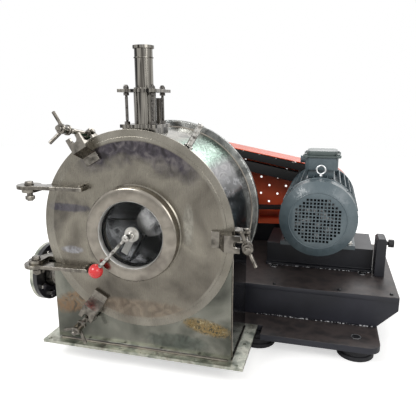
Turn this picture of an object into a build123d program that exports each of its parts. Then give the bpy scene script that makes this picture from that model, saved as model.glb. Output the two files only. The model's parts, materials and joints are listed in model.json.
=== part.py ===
from build123d import *
import math
import os

# Horizontal belt-driven centrifuge with a hinged door, in millimetres.
# The origin is the centre of the discharge flange's underside, +Z is up,
# +X runs from the drum towards the motor and +Y runs back from the door.

# Discharge flange under the housing
flange_width = 825.0
flange_depth = 345.0
flange_thickness = 12.0
flange_front_margin = 23.5
flange_hole_radius = 7.0
flange_hole_inset_x = 25.0
flange_hole_inset_y = 14.0
flange_front_holes = 6
floor_drop = 80.0

# Housing, measured from the door's front face and the drum's axis
drum_axis_height = 488.0
shell_radius = 360.0
shell_wall = 6.0
shell_depth = 414.0
chute_depth = 300.0
front_plate_thickness = 12.0
front_rim_radius = 366.0
door_opening_radius = 318.0
back_plate_radius = 388.0
back_plate_thickness = 24.0
back_plate_bore_radius = 70.0

# Door with its sight glass
door_radius = 372.0
door_thickness = 12.0
door_seal_gap = 1.0
door_band_width = 26.0
door_band_step = 3.0
sight_ring_radius = 175.0
sight_ring_stand = 45.0
sight_opening_radius = 123.0
sight_ring_round = 8.0
glass_radius = 140.0
glass_thickness = 12.0
glass_setback = 21.0
glass_clearance = 0.3

# Wiper that turns in the middle of the glass
wiper_angle = 227.0
wiper_hub_radius = 28.0
wiper_hub_thickness = 9.0
wiper_spindle_radius = 8.0
wiper_spindle_clearance = 0.15
wiper_running_gap = 0.3
wiper_reach = 180.0
wiper_rod_radius = 4.5
ball_radius = 22.5
ball_seat = 21.5
ball_stand = 79.0
blade_length = 92.0
blade_width = 26.0
blade_thickness = 5.0
blade_lead = 15.0

# Hinges at the door's left side
hinge_axis_x = -414.0
hinge_axis_stand = 20.0
hinge_spread = 148.0
hinge_plate_thickness = 14.0
hinge_plate_gap = 0.5
hinge_arm_end_radius = 45.0
hinge_arm_tip_x = -184.0
hinge_arm_root_depth = 52.0
hinge_arm_tip_depth = 40.0
hinge_pin_radius = 11.0
hinge_pin_clearance = 0.15
hinge_pin_head_radius = 18.0
hinge_pin_head_height = 18.0
hinge_pin_tail = 33.0
hinge_bracket_root_y = 110.0
hinge_bracket_end = 28.0
hinge_pin_lift = 0.5

# Swing-bolt clamps round the door
clamp_radius = 400.0
side_clamp_angles = (0.0, 120.0)
side_clamp_pivot_back = 60.0
side_clamp_rest_angle = 12.5
front_clamp_angle = 240.0
front_clamp_rest_angle = 26.0
clamp_bolt_radius = 10.0
clamp_bolt_tip = 12.0
clamp_eye_radius = 17.0
clamp_eye_width = 24.0
clamp_pin_radius = 7.0
clamp_pin_clearance = 0.15
clamp_lug_thickness = 9.0
clamp_lug_gap = 0.5
clamp_lug_spread = 45.0
clamp_nut_radius = 18.5
clamp_nut_length = 46.0
clamp_nut_gap = 1.0
clamp_wing_radius = 5.5
clamp_wing_length = 62.0
clamp_wing_splay = 30.0
fork_width = 60.0
fork_foot_radius = 290.0
fork_step = 40.0
fork_plate = 13.0
fork_slot_width = 25.0

# Feed tube on its square plate above the housing
feed_x = 16.0
feed_back = 95.0
feed_stub_radius = 40.0
feed_tube_radius = 32.5
feed_tube_wall = 3.0
feed_plate_side = 145.0
feed_plate_thickness = 11.0
feed_plate_top = 995.0
feed_base_side = 138.0
feed_base_top = 874.0
feed_base_thickness = 12.0
feed_tube_top = 1143.0
feed_ferrule_radius = 38.0
feed_ferrule_height = 10.0
feed_collar = 6.0
feed_base_step = 6.0
seat_clearance = 0.3
tie_rod_pitch = 98.0
tie_rod_radius = 6.0
tie_nut_radius = 10.0
tie_nut_height = 10.0

# Vent cone, guide post and filtrate outlet
vent_x = -20.0
vent_back = 320.0
vent_base_radius = 24.0
vent_top_radius = 15.5
vent_wall = 3.0
vent_top = 967.0
post_angle = 58.0
post_back = 40.0
post_radius = 11.0
post_length = 100.0
post_nut_radius = 17.0
post_nut_height = 14.0
outlet_back = 128.0
outlet_height = 250.0
outlet_pipe_radius = 66.0
outlet_pipe_wall = 4.0
outlet_flange_radius = 120.0
outlet_flange_thickness = 18.0
outlet_flange_x = -442.0
outlet_cover_thickness = 15.0
outlet_cover_bore = 58.0
outlet_bolt_circle = 95.0
outlet_bolt_count = 8
outlet_bolt_radius = 8.0

# Base, feet and motor slide
base_front = 442.0
base_back = 1190.0
base_left = -400.0
base_right = 990.0
base_top = 152.0
base_chamfer = 85.0
sole_top = 5.0
sole_thickness = 28.0
sole_front = 256.0
sole_tongue_left = 432.0
sole_right = 912.0
sole_corner_radius = 48.0
sole_inner_front = 336.0
foot_radius = 75.0
foot_round = 6.0
foot_columns = (410.0, 822.0)
foot_rows = (358.0, 1105.0)
foot_left_x = -300.0
foot_left_row = 520.0
slide_left = 388.0
slide_right = 898.0
slide_front = 706.0
slide_back = 1040.0
slide_height = 110.0
slide_lip = 26.0
slide_lip_thickness = 12.0
slide_post_gap = 6.0
slide_post_width = 45.0
slide_post_front = 668.0
slide_post_depth = 100.0
slide_post_height = 184.0
jack_height = 153.0
jack_radius = 9.0
jack_knob_radius = 19.0
jack_knob_length = 24.0

# Drum, shaft and bearing housing
drum_radius = 270.0
drum_front = 90.0
drum_depth = 250.0
drum_wall = 8.0
drum_lip_radius = 205.0
drum_spoke_count = 6
scroll_nose_radius = 60.0
scroll_base_radius = 120.0
scroll_vane = 8.0
shaft_radius = 35.0
shaft_clearance = 0.3
shaft_tail = 14.0
bearing_radius = 135.0
bearing_back = 1010.0
bearing_flange_radius = 190.0
bearing_flange_thickness = 26.0
pedestal_half_width = 170.0
pedestal_front = 560.0
pedestal_back = 960.0
pedestal_taper = 4.0
pedestal_cradle_drop = 40.0
pulley_front = 1110.0
pulley_width = 84.0
drum_pulley_radius = 150.0
motor_pulley_radius = 75.0
belt_thickness = 14.0
belt_clearance = 0.4
belt_inset = 6.0

# Motor
motor_x = 635.0
motor_shaft_height = 180.0
motor_face = 516.0
motor_cowl_front = 546.0
motor_cowl_back = 640.0
motor_cowl_radius = 172.0
motor_face_radius = 128.0
motor_cowl_wall = 2.5
motor_frame_radius = 150.0
motor_fin_radius = 178.0
motor_fin_thickness = 5.0
motor_fin_count = 36
motor_shield = 30.0
motor_foot_gap = 215.0
motor_back = 1050.0
motor_foot_width = 355.0
motor_foot_front = 706.0
motor_foot_back = 1010.0
motor_foot_thickness = 20.0
motor_shaft_radius = 24.0
terminal_front = 690.0
terminal_back = 850.0
terminal_width = 160.0
terminal_bottom = 172.0
terminal_height = 105.0
terminal_lid_height = 30.0
gland_back = 760.0
gland_height = 83.0
gland_radius = 20.0
gland_bore = 12.0
gland_stand = 20.0
eyebolt_back = 655.0
fan_radius = 140.0
fan_gap = 12.0
fan_disc = 4.0
fan_depth = 44.0
fan_blade_count = 8
cowl_grid_pitch = 15.5
cowl_grid_count = 15
cowl_grid_radius = 108.0
cowl_hole = 10.5
terminal_round = 12.0
terminal_lid_taper = 15.0
eyebolt_ring = 24.0
eyebolt_thickness = 9.0
eyebolt_shank = 14.0

# Belt guard
guard_front = 1056.0
guard_back = 1250.0
guard_sheet = 3.0
guard_drum_radius = 235.0
guard_motor_radius = 163.0
guard_hole_pitch = 100.0
guard_hole_radius = 6.5
guard_hole_columns = 7
guard_hole_rows = 3
guard_grid_x = 225.0
guard_grid_z = -28.0
guard_foot_inset = 40.0
guard_foot_width = 120.0
guard_foot_depth = 60.0


def behind(distance):
    """Y of a point this far behind the door's front face."""
    return flange_front_margin - flange_depth / 2 + distance


def upright(distance):
    """Vertical plane behind the door face, facing front, level with the drum axis."""
    return Plane((0, behind(distance), drum_axis_height), x_dir=(1, 0, 0), z_dir=(0, -1, 0))


def dial(angle, distance=0.0):
    """Plane facing front whose x runs outwards from the drum axis at this angle."""
    a = math.radians(angle)
    return Plane((0, behind(distance), drum_axis_height), x_dir=(math.cos(a), 0, math.sin(a)), z_dir=(0, -1, 0))


def radial_section(angle, offset=0.0):
    """Plane through the drum axis: x runs outwards at this angle and y runs back."""
    a = math.radians(angle)
    plane = Plane((0, behind(0), drum_axis_height), x_dir=(math.cos(a), 0, math.sin(a)),
                  z_dir=(-math.sin(a), 0, math.cos(a)))
    return plane.offset(offset)


def arch(radius, half_width):
    """Sketch outline of the housing: a circle over a straight-sided chute."""
    leg = drum_axis_height - flange_thickness
    Circle(radius)
    with Locations((0, -leg / 2)):
        Rectangle(2 * half_width, leg)


def floor_plan(height):
    """Horizontal plane at this height over the flange's underside, origin at the door's face."""
    return Plane((0, behind(0), height))


shell_front = door_thickness + door_seal_gap + front_plate_thickness
back_plate_back = shell_depth + back_plate_thickness
hinge_heights = (drum_axis_height + hinge_spread, drum_axis_height - hinge_spread)
motor_axis_height = base_top + slide_height + motor_shaft_height
pieces = []

# Outer envelope of the housing, which trims what stands on it
with BuildPart() as housing_envelope:
    with BuildSketch(upright(door_thickness + door_seal_gap)):
        arch(front_rim_radius, shell_radius)
    extrude(amount=-front_plate_thickness)
    with BuildSketch(upright(shell_front)):
        arch(shell_radius, shell_radius)
    extrude(amount=-(shell_depth - shell_front))

# Housing
half_pitch_x = flange_width / 2 - flange_hole_inset_x
half_pitch_y = flange_depth / 2 - flange_hole_inset_y
flange_pitch_x = 2 * half_pitch_x / (flange_front_holes - 1)
flange_holes = [
    (x_index * flange_pitch_x - half_pitch_x, y_side * half_pitch_y)
    for x_index in range(flange_front_holes)
    for y_side in (-1, 1)
] + [(-half_pitch_x, 0), (half_pitch_x, 0)]
chute_inside_front = behind(shell_front)
chute_inside_back = behind(chute_depth - shell_wall)
with BuildPart() as discharge_flange:
    with BuildSketch():
        Rectangle(flange_width, flange_depth)
        with Locations((0, (chute_inside_front + chute_inside_back) / 2)):
            Rectangle(2 * (shell_radius - shell_wall), chute_inside_back - chute_inside_front, mode=Mode.SUBTRACT)
        with Locations(*flange_holes):
            Circle(flange_hole_radius, mode=Mode.SUBTRACT)
    extrude(amount=flange_thickness)
discharge_flange.part.label = "discharge_flange"
pieces.append(discharge_flange.part)

with BuildPart() as housing_front:
    with BuildSketch(upright(door_thickness + door_seal_gap)):
        arch(front_rim_radius, shell_radius)
        Circle(door_opening_radius, mode=Mode.SUBTRACT)
    extrude(amount=-front_plate_thickness)
housing_front.part.label = "housing_front"
pieces.append(housing_front.part)

outlet_center = (behind(outlet_back), outlet_height)
with BuildPart() as housing_shell:
    with BuildSketch(upright(shell_front)):
        arch(shell_radius, shell_radius)
    extrude(amount=-(chute_depth - shell_front))
    with BuildSketch(upright(shell_front)):
        arch(shell_radius - shell_wall, shell_radius - shell_wall)
    extrude(amount=-(chute_depth - shell_wall - shell_front), mode=Mode.SUBTRACT)
    with BuildSketch(upright(chute_depth - shell_wall)):
        Circle(shell_radius - shell_wall)
    extrude(amount=-shell_wall, mode=Mode.SUBTRACT)
    with BuildSketch(upright(chute_depth)):
        Circle(shell_radius)
        Circle(shell_radius - shell_wall, mode=Mode.SUBTRACT)
    extrude(amount=-(shell_depth - chute_depth))
    with BuildSketch(Plane((-shell_radius + shell_wall, *outlet_center), x_dir=(0, 1, 0), z_dir=(-1, 0, 0))):
        Circle(outlet_pipe_radius)
    extrude(amount=2 * shell_wall, both=True, mode=Mode.SUBTRACT)
    with BuildSketch(Plane((feed_x, behind(feed_back), drum_axis_height))):
        Circle(feed_tube_radius)
    extrude(amount=shell_radius + shell_wall, mode=Mode.SUBTRACT)
    with BuildSketch(Plane((vent_x, behind(vent_back), drum_axis_height))):
        Circle(vent_top_radius - vent_wall)
    extrude(amount=shell_radius + shell_wall, mode=Mode.SUBTRACT)
housing_shell.part.label = "housing_shell"
pieces.append(housing_shell.part)

with BuildPart() as housing_back:
    with BuildSketch(upright(shell_depth)):
        Circle(back_plate_radius)
        Circle(back_plate_bore_radius, mode=Mode.SUBTRACT)
    extrude(amount=-back_plate_thickness)
    outer_edges = housing_back.edges().filter_by(GeomType.CIRCLE).group_by(SortBy.RADIUS)[-1]
    fillet(outer_edges, back_plate_thickness / 4)
housing_back.part.label = "housing_back"
pieces.append(housing_back.part)

# Feed tube, vent, post and outlet
feed_y = behind(feed_back)
tie_rods_at = [(feed_x + sx * tie_rod_pitch / 2, feed_y + sy * tie_rod_pitch / 2) for sx in (-1, 1) for sy in (-1, 1)]
with BuildPart() as feed_base:
    with BuildSketch(Plane((feed_x, feed_y, feed_base_top))):
        Rectangle(feed_base_side, feed_base_side)
    extrude(amount=-feed_base_thickness)
    with BuildSketch(Plane((feed_x, feed_y, feed_base_top - feed_base_thickness))):
        Rectangle(feed_base_side - 2 * feed_base_step, feed_base_side - 2 * feed_base_step)
    extrude(amount=-feed_base_side / 2)
    with BuildSketch(Plane((feed_x, feed_y, feed_plate_top - feed_plate_thickness))):
        Circle(feed_stub_radius)
    extrude(amount=-(feed_plate_top - feed_plate_thickness - drum_axis_height))
    add(housing_envelope.part, mode=Mode.SUBTRACT)
    with BuildSketch(Plane((feed_x, feed_y, drum_axis_height))):
        Circle(feed_tube_radius)
    extrude(amount=feed_plate_top - drum_axis_height, mode=Mode.SUBTRACT)
feed_base.part.label = "feed_base"
pieces.append(feed_base.part)

with BuildPart() as feed_tube:
    with BuildSketch(Plane((feed_x, feed_y, feed_plate_top - feed_plate_thickness))):
        Rectangle(feed_plate_side, feed_plate_side)
        with GridLocations(tie_rod_pitch, tie_rod_pitch, 2, 2):
            Circle(tie_rod_radius + seat_clearance, mode=Mode.SUBTRACT)
    extrude(amount=feed_plate_thickness)
    with BuildSketch(Plane((feed_x, feed_y, feed_plate_top))):
        Circle(feed_tube_radius)
    extrude(amount=feed_tube_top - feed_plate_top)
    with BuildSketch(Plane((feed_x, feed_y, feed_tube_top - feed_ferrule_height))):
        Circle(feed_ferrule_radius)
    extrude(amount=feed_ferrule_height)
    with BuildSketch(Plane((feed_x, feed_y, feed_plate_top))):
        Circle(feed_tube_radius + feed_collar)
    extrude(amount=feed_collar)
    with BuildSketch(Plane((feed_x, feed_y, feed_plate_top - feed_plate_thickness))):
        Circle(feed_tube_radius - feed_tube_wall)
    extrude(amount=feed_tube_top - feed_plate_top + feed_plate_thickness, mode=Mode.SUBTRACT)
feed_tube.part.label = "feed_tube"
pieces.append(feed_tube.part)

rod_bottom = feed_base_top
rod_top = feed_plate_top + tie_nut_height
with BuildPart() as tie_rods:
    with BuildSketch(Plane((feed_x, feed_y, rod_bottom))):
        with GridLocations(tie_rod_pitch, tie_rod_pitch, 2, 2):
            Circle(tie_rod_radius)
    extrude(amount=rod_top - rod_bottom)
    for nut_base in (rod_bottom, feed_plate_top - feed_plate_thickness - tie_nut_height, feed_plate_top):
        with BuildSketch(Plane((feed_x, feed_y, nut_base))):
            with GridLocations(tie_rod_pitch, tie_rod_pitch, 2, 2):
                RegularPolygon(tie_nut_radius, 6)
        extrude(amount=tie_nut_height)
    with BuildSketch(Plane((feed_x, feed_y, rod_top))):
        with GridLocations(tie_rod_pitch, tie_rod_pitch, 2, 2):
            Circle(tie_nut_radius * 0.8)
    extrude(amount=tie_nut_height / 2)
tie_rods.part.label = "tie_rods"
pieces.append(tie_rods.part)

vent_length = vent_top - drum_axis_height
with BuildPart() as vent_cone:
    with BuildSketch(Plane((vent_x, behind(vent_back), drum_axis_height + shell_radius - shell_wall))):
        Circle(vent_base_radius)
    with BuildSketch(Plane((vent_x, behind(vent_back), vent_top))):
        Circle(vent_top_radius)
    loft()
    with BuildSketch(Plane((vent_x, behind(vent_back), vent_top))):
        Circle(vent_top_radius - vent_wall)
    extrude(amount=-vent_length, mode=Mode.SUBTRACT)
    add(housing_envelope.part, mode=Mode.SUBTRACT)
vent_cone.part.label = "vent_cone"
pieces.append(vent_cone.part)

guide_post_plane = Plane(dial(post_angle, post_back).origin, z_dir=dial(post_angle, post_back).x_dir)
with BuildPart() as guide_post:
    with BuildSketch(guide_post_plane.offset(shell_radius - shell_wall)):
        Circle(post_radius)
    extrude(amount=post_length + shell_wall)
    with BuildSketch(guide_post_plane.offset(shell_radius - shell_wall)):
        RegularPolygon(post_nut_radius, 6)
    extrude(amount=post_nut_height + shell_wall)
    add(housing_envelope.part, mode=Mode.SUBTRACT)
guide_post.part.label = "guide_post"
pieces.append(guide_post.part)


def outlet_plane(x):
    """Plane facing left, centred on the filtrate outlet."""
    return Plane((x, *outlet_center), x_dir=(0, 1, 0), z_dir=(-1, 0, 0))


with BuildPart() as outlet_pipe:
    with BuildSketch(outlet_plane(-shell_radius)):
        Circle(outlet_pipe_radius)
        Circle(outlet_pipe_radius - outlet_pipe_wall, mode=Mode.SUBTRACT)
    extrude(amount=-shell_radius - outlet_flange_x + outlet_flange_thickness / 2)
outlet_pipe.part.label = "outlet_pipe"
pieces.append(outlet_pipe.part)

with BuildPart() as outlet_flange:
    with BuildSketch(outlet_plane(outlet_flange_x)):
        Circle(outlet_flange_radius)
        Circle(outlet_pipe_radius + seat_clearance, mode=Mode.SUBTRACT)
        with PolarLocations(outlet_bolt_circle, outlet_bolt_count, start_angle=180 / outlet_bolt_count):
            Circle(outlet_bolt_radius + seat_clearance, mode=Mode.SUBTRACT)
    extrude(amount=outlet_flange_thickness)
outlet_flange.part.label = "outlet_flange"
pieces.append(outlet_flange.part)

outlet_cover_x = outlet_flange_x - outlet_flange_thickness
with BuildPart() as outlet_cover:
    with BuildSketch(outlet_plane(outlet_cover_x)):
        Circle(outlet_flange_radius)
        Circle(outlet_cover_bore, mode=Mode.SUBTRACT)
        with PolarLocations(outlet_bolt_circle, outlet_bolt_count, start_angle=180 / outlet_bolt_count):
            Circle(outlet_bolt_radius + seat_clearance, mode=Mode.SUBTRACT)
    extrude(amount=outlet_cover_thickness)
outlet_cover.part.label = "outlet_cover"
pieces.append(outlet_cover.part)

with BuildPart() as outlet_bolts:
    with BuildSketch(outlet_plane(outlet_flange_x)):
        with PolarLocations(outlet_bolt_circle, outlet_bolt_count, start_angle=180 / outlet_bolt_count):
            Circle(outlet_bolt_radius)
    extrude(amount=outlet_flange_thickness + outlet_cover_thickness)
    for plane, reach in ((outlet_plane(outlet_flange_x), -outlet_bolt_radius * 1.5),
                         (outlet_plane(outlet_cover_x - outlet_cover_thickness), outlet_bolt_radius * 1.25)):
        with BuildSketch(plane):
            with PolarLocations(outlet_bolt_circle, outlet_bolt_count, start_angle=180 / outlet_bolt_count):
                RegularPolygon(outlet_bolt_radius * 1.7, 6)
        extrude(amount=reach)
outlet_bolts.part.label = "outlet_bolts"
pieces.append(outlet_bolts.part)

# Door, sight glass and wiper
with BuildPart() as door_disc:
    with BuildSketch(upright(0)):
        Circle(door_radius)
        Circle(sight_opening_radius, mode=Mode.SUBTRACT)
    extrude(amount=-door_thickness)
    with BuildSketch(upright(0)):
        Circle(door_radius)
        Circle(door_radius - door_band_width, mode=Mode.SUBTRACT)
    extrude(amount=-door_band_step, mode=Mode.SUBTRACT)
door_disc.part.label = "door_disc"
pieces.append(door_disc.part)

with BuildPart() as sight_ring:
    with BuildSketch(upright(0)):
        Circle(sight_ring_radius)
        Circle(sight_opening_radius, mode=Mode.SUBTRACT)
    extrude(amount=sight_ring_stand)
    with BuildSketch(upright(0)):
        Circle(glass_radius + glass_clearance)
    extrude(amount=glass_setback, mode=Mode.SUBTRACT)
    front_edges = sight_ring.edges().filter_by(GeomType.CIRCLE).group_by(Axis.Y)[0]
    fillet(front_edges, sight_ring_round)
sight_ring.part.label = "sight_ring"
pieces.append(sight_ring.part)

with BuildPart() as sight_glass:
    with BuildSketch(upright(-glass_setback)):
        Circle(glass_radius)
        Circle(wiper_spindle_radius + wiper_spindle_clearance, mode=Mode.SUBTRACT)
    extrude(amount=-glass_thickness)
sight_glass.part.label = "sight_glass"
pieces.append(sight_glass.part)

with BuildPart() as glass_seal:
    with BuildSketch(upright(glass_thickness - glass_setback)):
        Circle(glass_radius)
        Circle(sight_opening_radius, mode=Mode.SUBTRACT)
    extrude(amount=-(glass_setback - glass_thickness))
glass_seal.part.label = "glass_seal"
pieces.append(glass_seal.part)

hub_front = glass_setback + wiper_running_gap + wiper_hub_thickness
blade_back = glass_thickness - glass_setback + wiper_running_gap
with BuildPart() as wiper_spindle:
    with BuildSketch(upright(-hub_front)):
        Circle(wiper_hub_radius)
    extrude(amount=-wiper_hub_thickness)
    with BuildSketch(upright(-hub_front)):
        Circle(wiper_spindle_radius)
    extrude(amount=-(hub_front + blade_back + blade_thickness))
    with BuildSketch(upright(-hub_front)):
        Circle(wiper_spindle_radius * 1.5)
    extrude(amount=ball_stand - hub_front)
    with BuildSketch(dial(wiper_angle, -ball_stand)):
        Circle(wiper_spindle_radius * 1.5)
    extrude(amount=wiper_rod_radius)
    with BuildSketch(Plane(dial(wiper_angle, -ball_stand).origin, z_dir=dial(wiper_angle).x_dir)):
        Circle(wiper_rod_radius)
    extrude(amount=wiper_reach - ball_seat)
wiper_spindle.part.label = "wiper_spindle"
pieces.append(wiper_spindle.part)

with BuildPart() as wiper_ball:
    with BuildSketch(dial(wiper_angle, -ball_stand)):
        with Locations((wiper_reach, 0)):
            Circle(ball_radius)
        with Locations((wiper_reach, -ball_radius / 2)):
            Rectangle(2 * ball_radius, ball_radius, mode=Mode.SUBTRACT)
        with Locations((wiper_reach - ball_radius, 0)):
            Rectangle(2 * (ball_radius - ball_seat), 2 * ball_radius, mode=Mode.SUBTRACT)
    revolve(axis=Axis(dial(wiper_angle, -ball_stand).origin, dial(wiper_angle).x_dir))
wiper_ball.part.label = "wiper_ball"
pieces.append(wiper_ball.part)

with BuildPart() as wiper_blade:
    with BuildSketch(dial(wiper_angle + blade_lead, blade_back)):
        with Locations((blade_length / 2, 0)):
            Rectangle(blade_length, blade_width)
        Circle(blade_width / 2)
        Circle(wiper_spindle_radius, mode=Mode.SUBTRACT)
    extrude(amount=-blade_thickness)
wiper_blade.part.label = "wiper_blade"
pieces.append(wiper_blade.part)

# Hinges: the door's arm lies above the bracket at the top and below it at the bottom
pin_y = -hinge_axis_stand
leaf_levels = []
for height, side in zip(hinge_heights, (1, -1)):
    arm_bottom = height + side * (hinge_plate_gap + hinge_plate_thickness) / 2 - hinge_plate_thickness / 2
    leaf_levels.append((arm_bottom, 2 * height - arm_bottom - hinge_plate_thickness))

with BuildPart() as door_arms:
    for arm_bottom, bracket_bottom in leaf_levels:
        with BuildSketch(floor_plan(arm_bottom)):
            with BuildLine():
                Polyline(
                    (hinge_axis_x, -hinge_arm_root_depth),
                    (hinge_arm_tip_x, -hinge_arm_tip_depth),
                    (hinge_arm_tip_x, 0),
                    (hinge_axis_x + hinge_pin_head_radius, 0),
                    (hinge_axis_x, pin_y),
                    close=True,
                )
            make_face()
            with Locations((hinge_axis_x, pin_y)):
                Circle(hinge_arm_end_radius)
                Circle(hinge_pin_radius + hinge_pin_clearance, mode=Mode.SUBTRACT)
        extrude(amount=hinge_plate_thickness)
door_arms.part.label = "door_arms"
pieces.append(door_arms.part)

with BuildPart() as hinge_brackets:
    for arm_bottom, bracket_bottom in leaf_levels:
        with BuildSketch(floor_plan(bracket_bottom)):
            with BuildLine():
                Polyline(
                    (hinge_axis_x - hinge_bracket_end, pin_y),
                    (hinge_axis_x + hinge_bracket_end, pin_y),
                    (hinge_axis_x + hinge_bracket_end, shell_front),
                    (-shell_radius / 2, shell_front),
                    (-shell_radius / 2, hinge_bracket_root_y),
                    (hinge_axis_x + hinge_bracket_end, hinge_bracket_root_y),
                    close=True,
                )
            make_face()
            with Locations((hinge_axis_x, pin_y)):
                Circle(hinge_bracket_end)
                Circle(hinge_pin_radius, mode=Mode.SUBTRACT)
        extrude(amount=hinge_plate_thickness)
    add(housing_envelope.part, mode=Mode.SUBTRACT)
hinge_brackets.part.label = "hinge_brackets"
pieces.append(hinge_brackets.part)

stack_half = hinge_plate_thickness + hinge_plate_gap / 2
with BuildPart() as hinge_pins:
    for height in hinge_heights:
        with BuildSketch(Plane((hinge_axis_x, behind(pin_y), height - stack_half - hinge_pin_tail))):
            Circle(hinge_pin_radius)
        extrude(amount=2 * stack_half + hinge_pin_tail + hinge_pin_lift)
        with BuildSketch(Plane((hinge_axis_x, behind(pin_y), height + stack_half + hinge_pin_lift))):
            Circle(hinge_pin_head_radius)
        extrude(amount=hinge_pin_head_height)
hinge_pins.part.label = "hinge_pins"
pieces.append(hinge_pins.part)

# Clamps: two stand on the housing's side, the third on its front plate
eye_half = clamp_eye_width / 2
lug_inside = eye_half + clamp_lug_gap
front_clamp_pivot_back = door_thickness + door_seal_gap - clamp_eye_radius - seat_clearance
clamps = [(angle, side_clamp_pivot_back, side_clamp_rest_angle) for angle in side_clamp_angles]
clamps.append((front_clamp_angle, front_clamp_pivot_back, front_clamp_rest_angle))
fork_front = fork_step + fork_plate



def lug_outline(pivot_back):
    """Corners of a clamp lug in its radial section, on the front plate or on the shell."""
    if pivot_back < door_thickness:
        foot = [(clamp_radius - clamp_eye_radius, shell_front), (clamp_radius + clamp_lug_spread, shell_front)]
        head = [(clamp_radius + clamp_eye_radius, pivot_back), (clamp_radius - clamp_eye_radius, pivot_back)]
    else:
        foot = [(shell_radius - clamp_eye_radius, pivot_back - clamp_lug_spread / 2),
                (shell_radius - clamp_eye_radius, pivot_back + clamp_lug_spread)]
        head = [(clamp_radius, pivot_back + clamp_eye_radius), (clamp_radius, pivot_back - clamp_eye_radius)]
    return foot + head


with BuildPart() as clamp_lugs:
    for angle, pivot_back, rest_angle in clamps:
        for side_offset in (-lug_inside - clamp_lug_thickness, lug_inside):
            with BuildSketch(radial_section(angle, side_offset)):
                with BuildLine():
                    Polyline(*lug_outline(pivot_back), close=True)
                make_face()
                with Locations((clamp_radius, pivot_back)):
                    Circle(clamp_eye_radius)
            extrude(amount=clamp_lug_thickness)
        with BuildSketch(radial_section(angle, -lug_inside - 1.5 * clamp_lug_thickness)):
            with Locations((clamp_radius, pivot_back)):
                Circle(clamp_pin_radius)
        extrude(amount=2 * lug_inside + 3 * clamp_lug_thickness)
    add(housing_envelope.part, mode=Mode.SUBTRACT)
clamp_lugs.part.label = "clamp_lugs"
pieces.append(clamp_lugs.part)

with BuildPart() as clamp_forks:
    for angle, pivot_back, rest_angle in clamps:
        with BuildSketch(radial_section(angle, -fork_width / 2)):
            with BuildLine():
                Polyline(
                    (fork_foot_radius, 0),
                    (door_radius - door_band_width, 0),
                    (door_radius - door_band_width, door_band_step),
                    (door_radius - fork_plate, door_band_step),
                    (door_radius, -fork_step),
                    (clamp_radius, -fork_step),
                    (clamp_radius, -fork_front),
                    (door_radius - door_band_width, -fork_front),
                    (door_radius - 2 * door_band_width, -fork_plate),
                    (fork_foot_radius, -fork_plate),
                    close=True,
                )
            make_face()
        extrude(amount=fork_width)
        with BuildSketch(dial(angle)):
            with Locations((clamp_radius, 0)):
                SlotOverall(fork_slot_width * 1.8, fork_slot_width)
        extrude(amount=fork_front + fork_plate, mode=Mode.SUBTRACT)
clamp_forks.part.label = "clamp_forks"
pieces.append(clamp_forks.part)

for index, (angle, pivot_back, rest_angle) in enumerate(clamps, start=1):
    swing = math.radians(rest_angle)
    out = Vector(*dial(angle).x_dir)
    front = Vector(0, -1, 0)
    pivot = Vector(*upright(pivot_back).origin) + out * clamp_radius
    bolt_line = front * math.cos(swing) + out * math.sin(swing)
    bolt_out = out * math.cos(swing) - front * math.sin(swing)
    tangent = bolt_line.cross(bolt_out)
    bolt_plane = Plane(pivot, x_dir=bolt_out, z_dir=bolt_line)
    eye_plane = Plane(pivot, x_dir=bolt_out, z_dir=tangent)
    nut_seat = pivot_back + fork_front + clamp_nut_gap
    bolt_length = nut_seat + clamp_nut_length + clamp_bolt_tip
    with BuildPart() as clamp_bolt:
        with BuildSketch(bolt_plane):
            Circle(clamp_bolt_radius)
        extrude(amount=bolt_length)
        with BuildSketch(eye_plane):
            Circle(clamp_eye_radius - clamp_lug_gap)
        extrude(amount=eye_half, both=True)
        with BuildSketch(eye_plane):
            Circle(clamp_pin_radius + clamp_pin_clearance)
        extrude(amount=eye_half + clamp_lug_gap, both=True, mode=Mode.SUBTRACT)
    clamp_bolt.part.label = f"clamp_bolt_{index}"
    pieces.append(clamp_bolt.part)

    wing_spread = math.radians(clamp_wing_splay)
    wing_root = pivot + bolt_line * (nut_seat + clamp_nut_length / 2)
    with BuildPart() as wing_nut:
        with BuildSketch(bolt_plane.offset(nut_seat)):
            Circle(clamp_nut_radius)
        extrude(amount=clamp_nut_length)
        for side in (-1, 1):
            wing_line = tangent * side * math.cos(wing_spread) + bolt_line * math.sin(wing_spread)
            with BuildSketch(Plane(wing_root, z_dir=wing_line)):
                Circle(clamp_wing_radius)
            extrude(amount=clamp_nut_radius + clamp_wing_length)
        with BuildSketch(bolt_plane):
            Circle(clamp_bolt_radius)
        extrude(amount=bolt_length, mode=Mode.SUBTRACT)
    wing_nut.part.label = f"wing_nut_{index}"
    pieces.append(wing_nut.part)

# Drum, shaft and bearing housing
pulley_back = pulley_front + pulley_width
with BuildPart() as drum_basket:
    with BuildSketch(radial_section(0)):
        with BuildLine():
            Polyline(
                (0, drum_front + drum_depth - drum_wall),
                (drum_radius - drum_wall, drum_front + drum_depth - drum_wall),
                (drum_radius - drum_wall, drum_front + drum_wall),
                (drum_lip_radius, drum_front + drum_wall),
                (drum_lip_radius, drum_front),
                (drum_radius, drum_front),
                (drum_radius, drum_front + drum_depth),
                (0, drum_front + drum_depth),
                close=True,
            )
        make_face()
    revolve(axis=Axis(upright(0).origin, (0, 1, 0)))
drum_basket.part.label = "drum_basket"
pieces.append(drum_basket.part)

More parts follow.
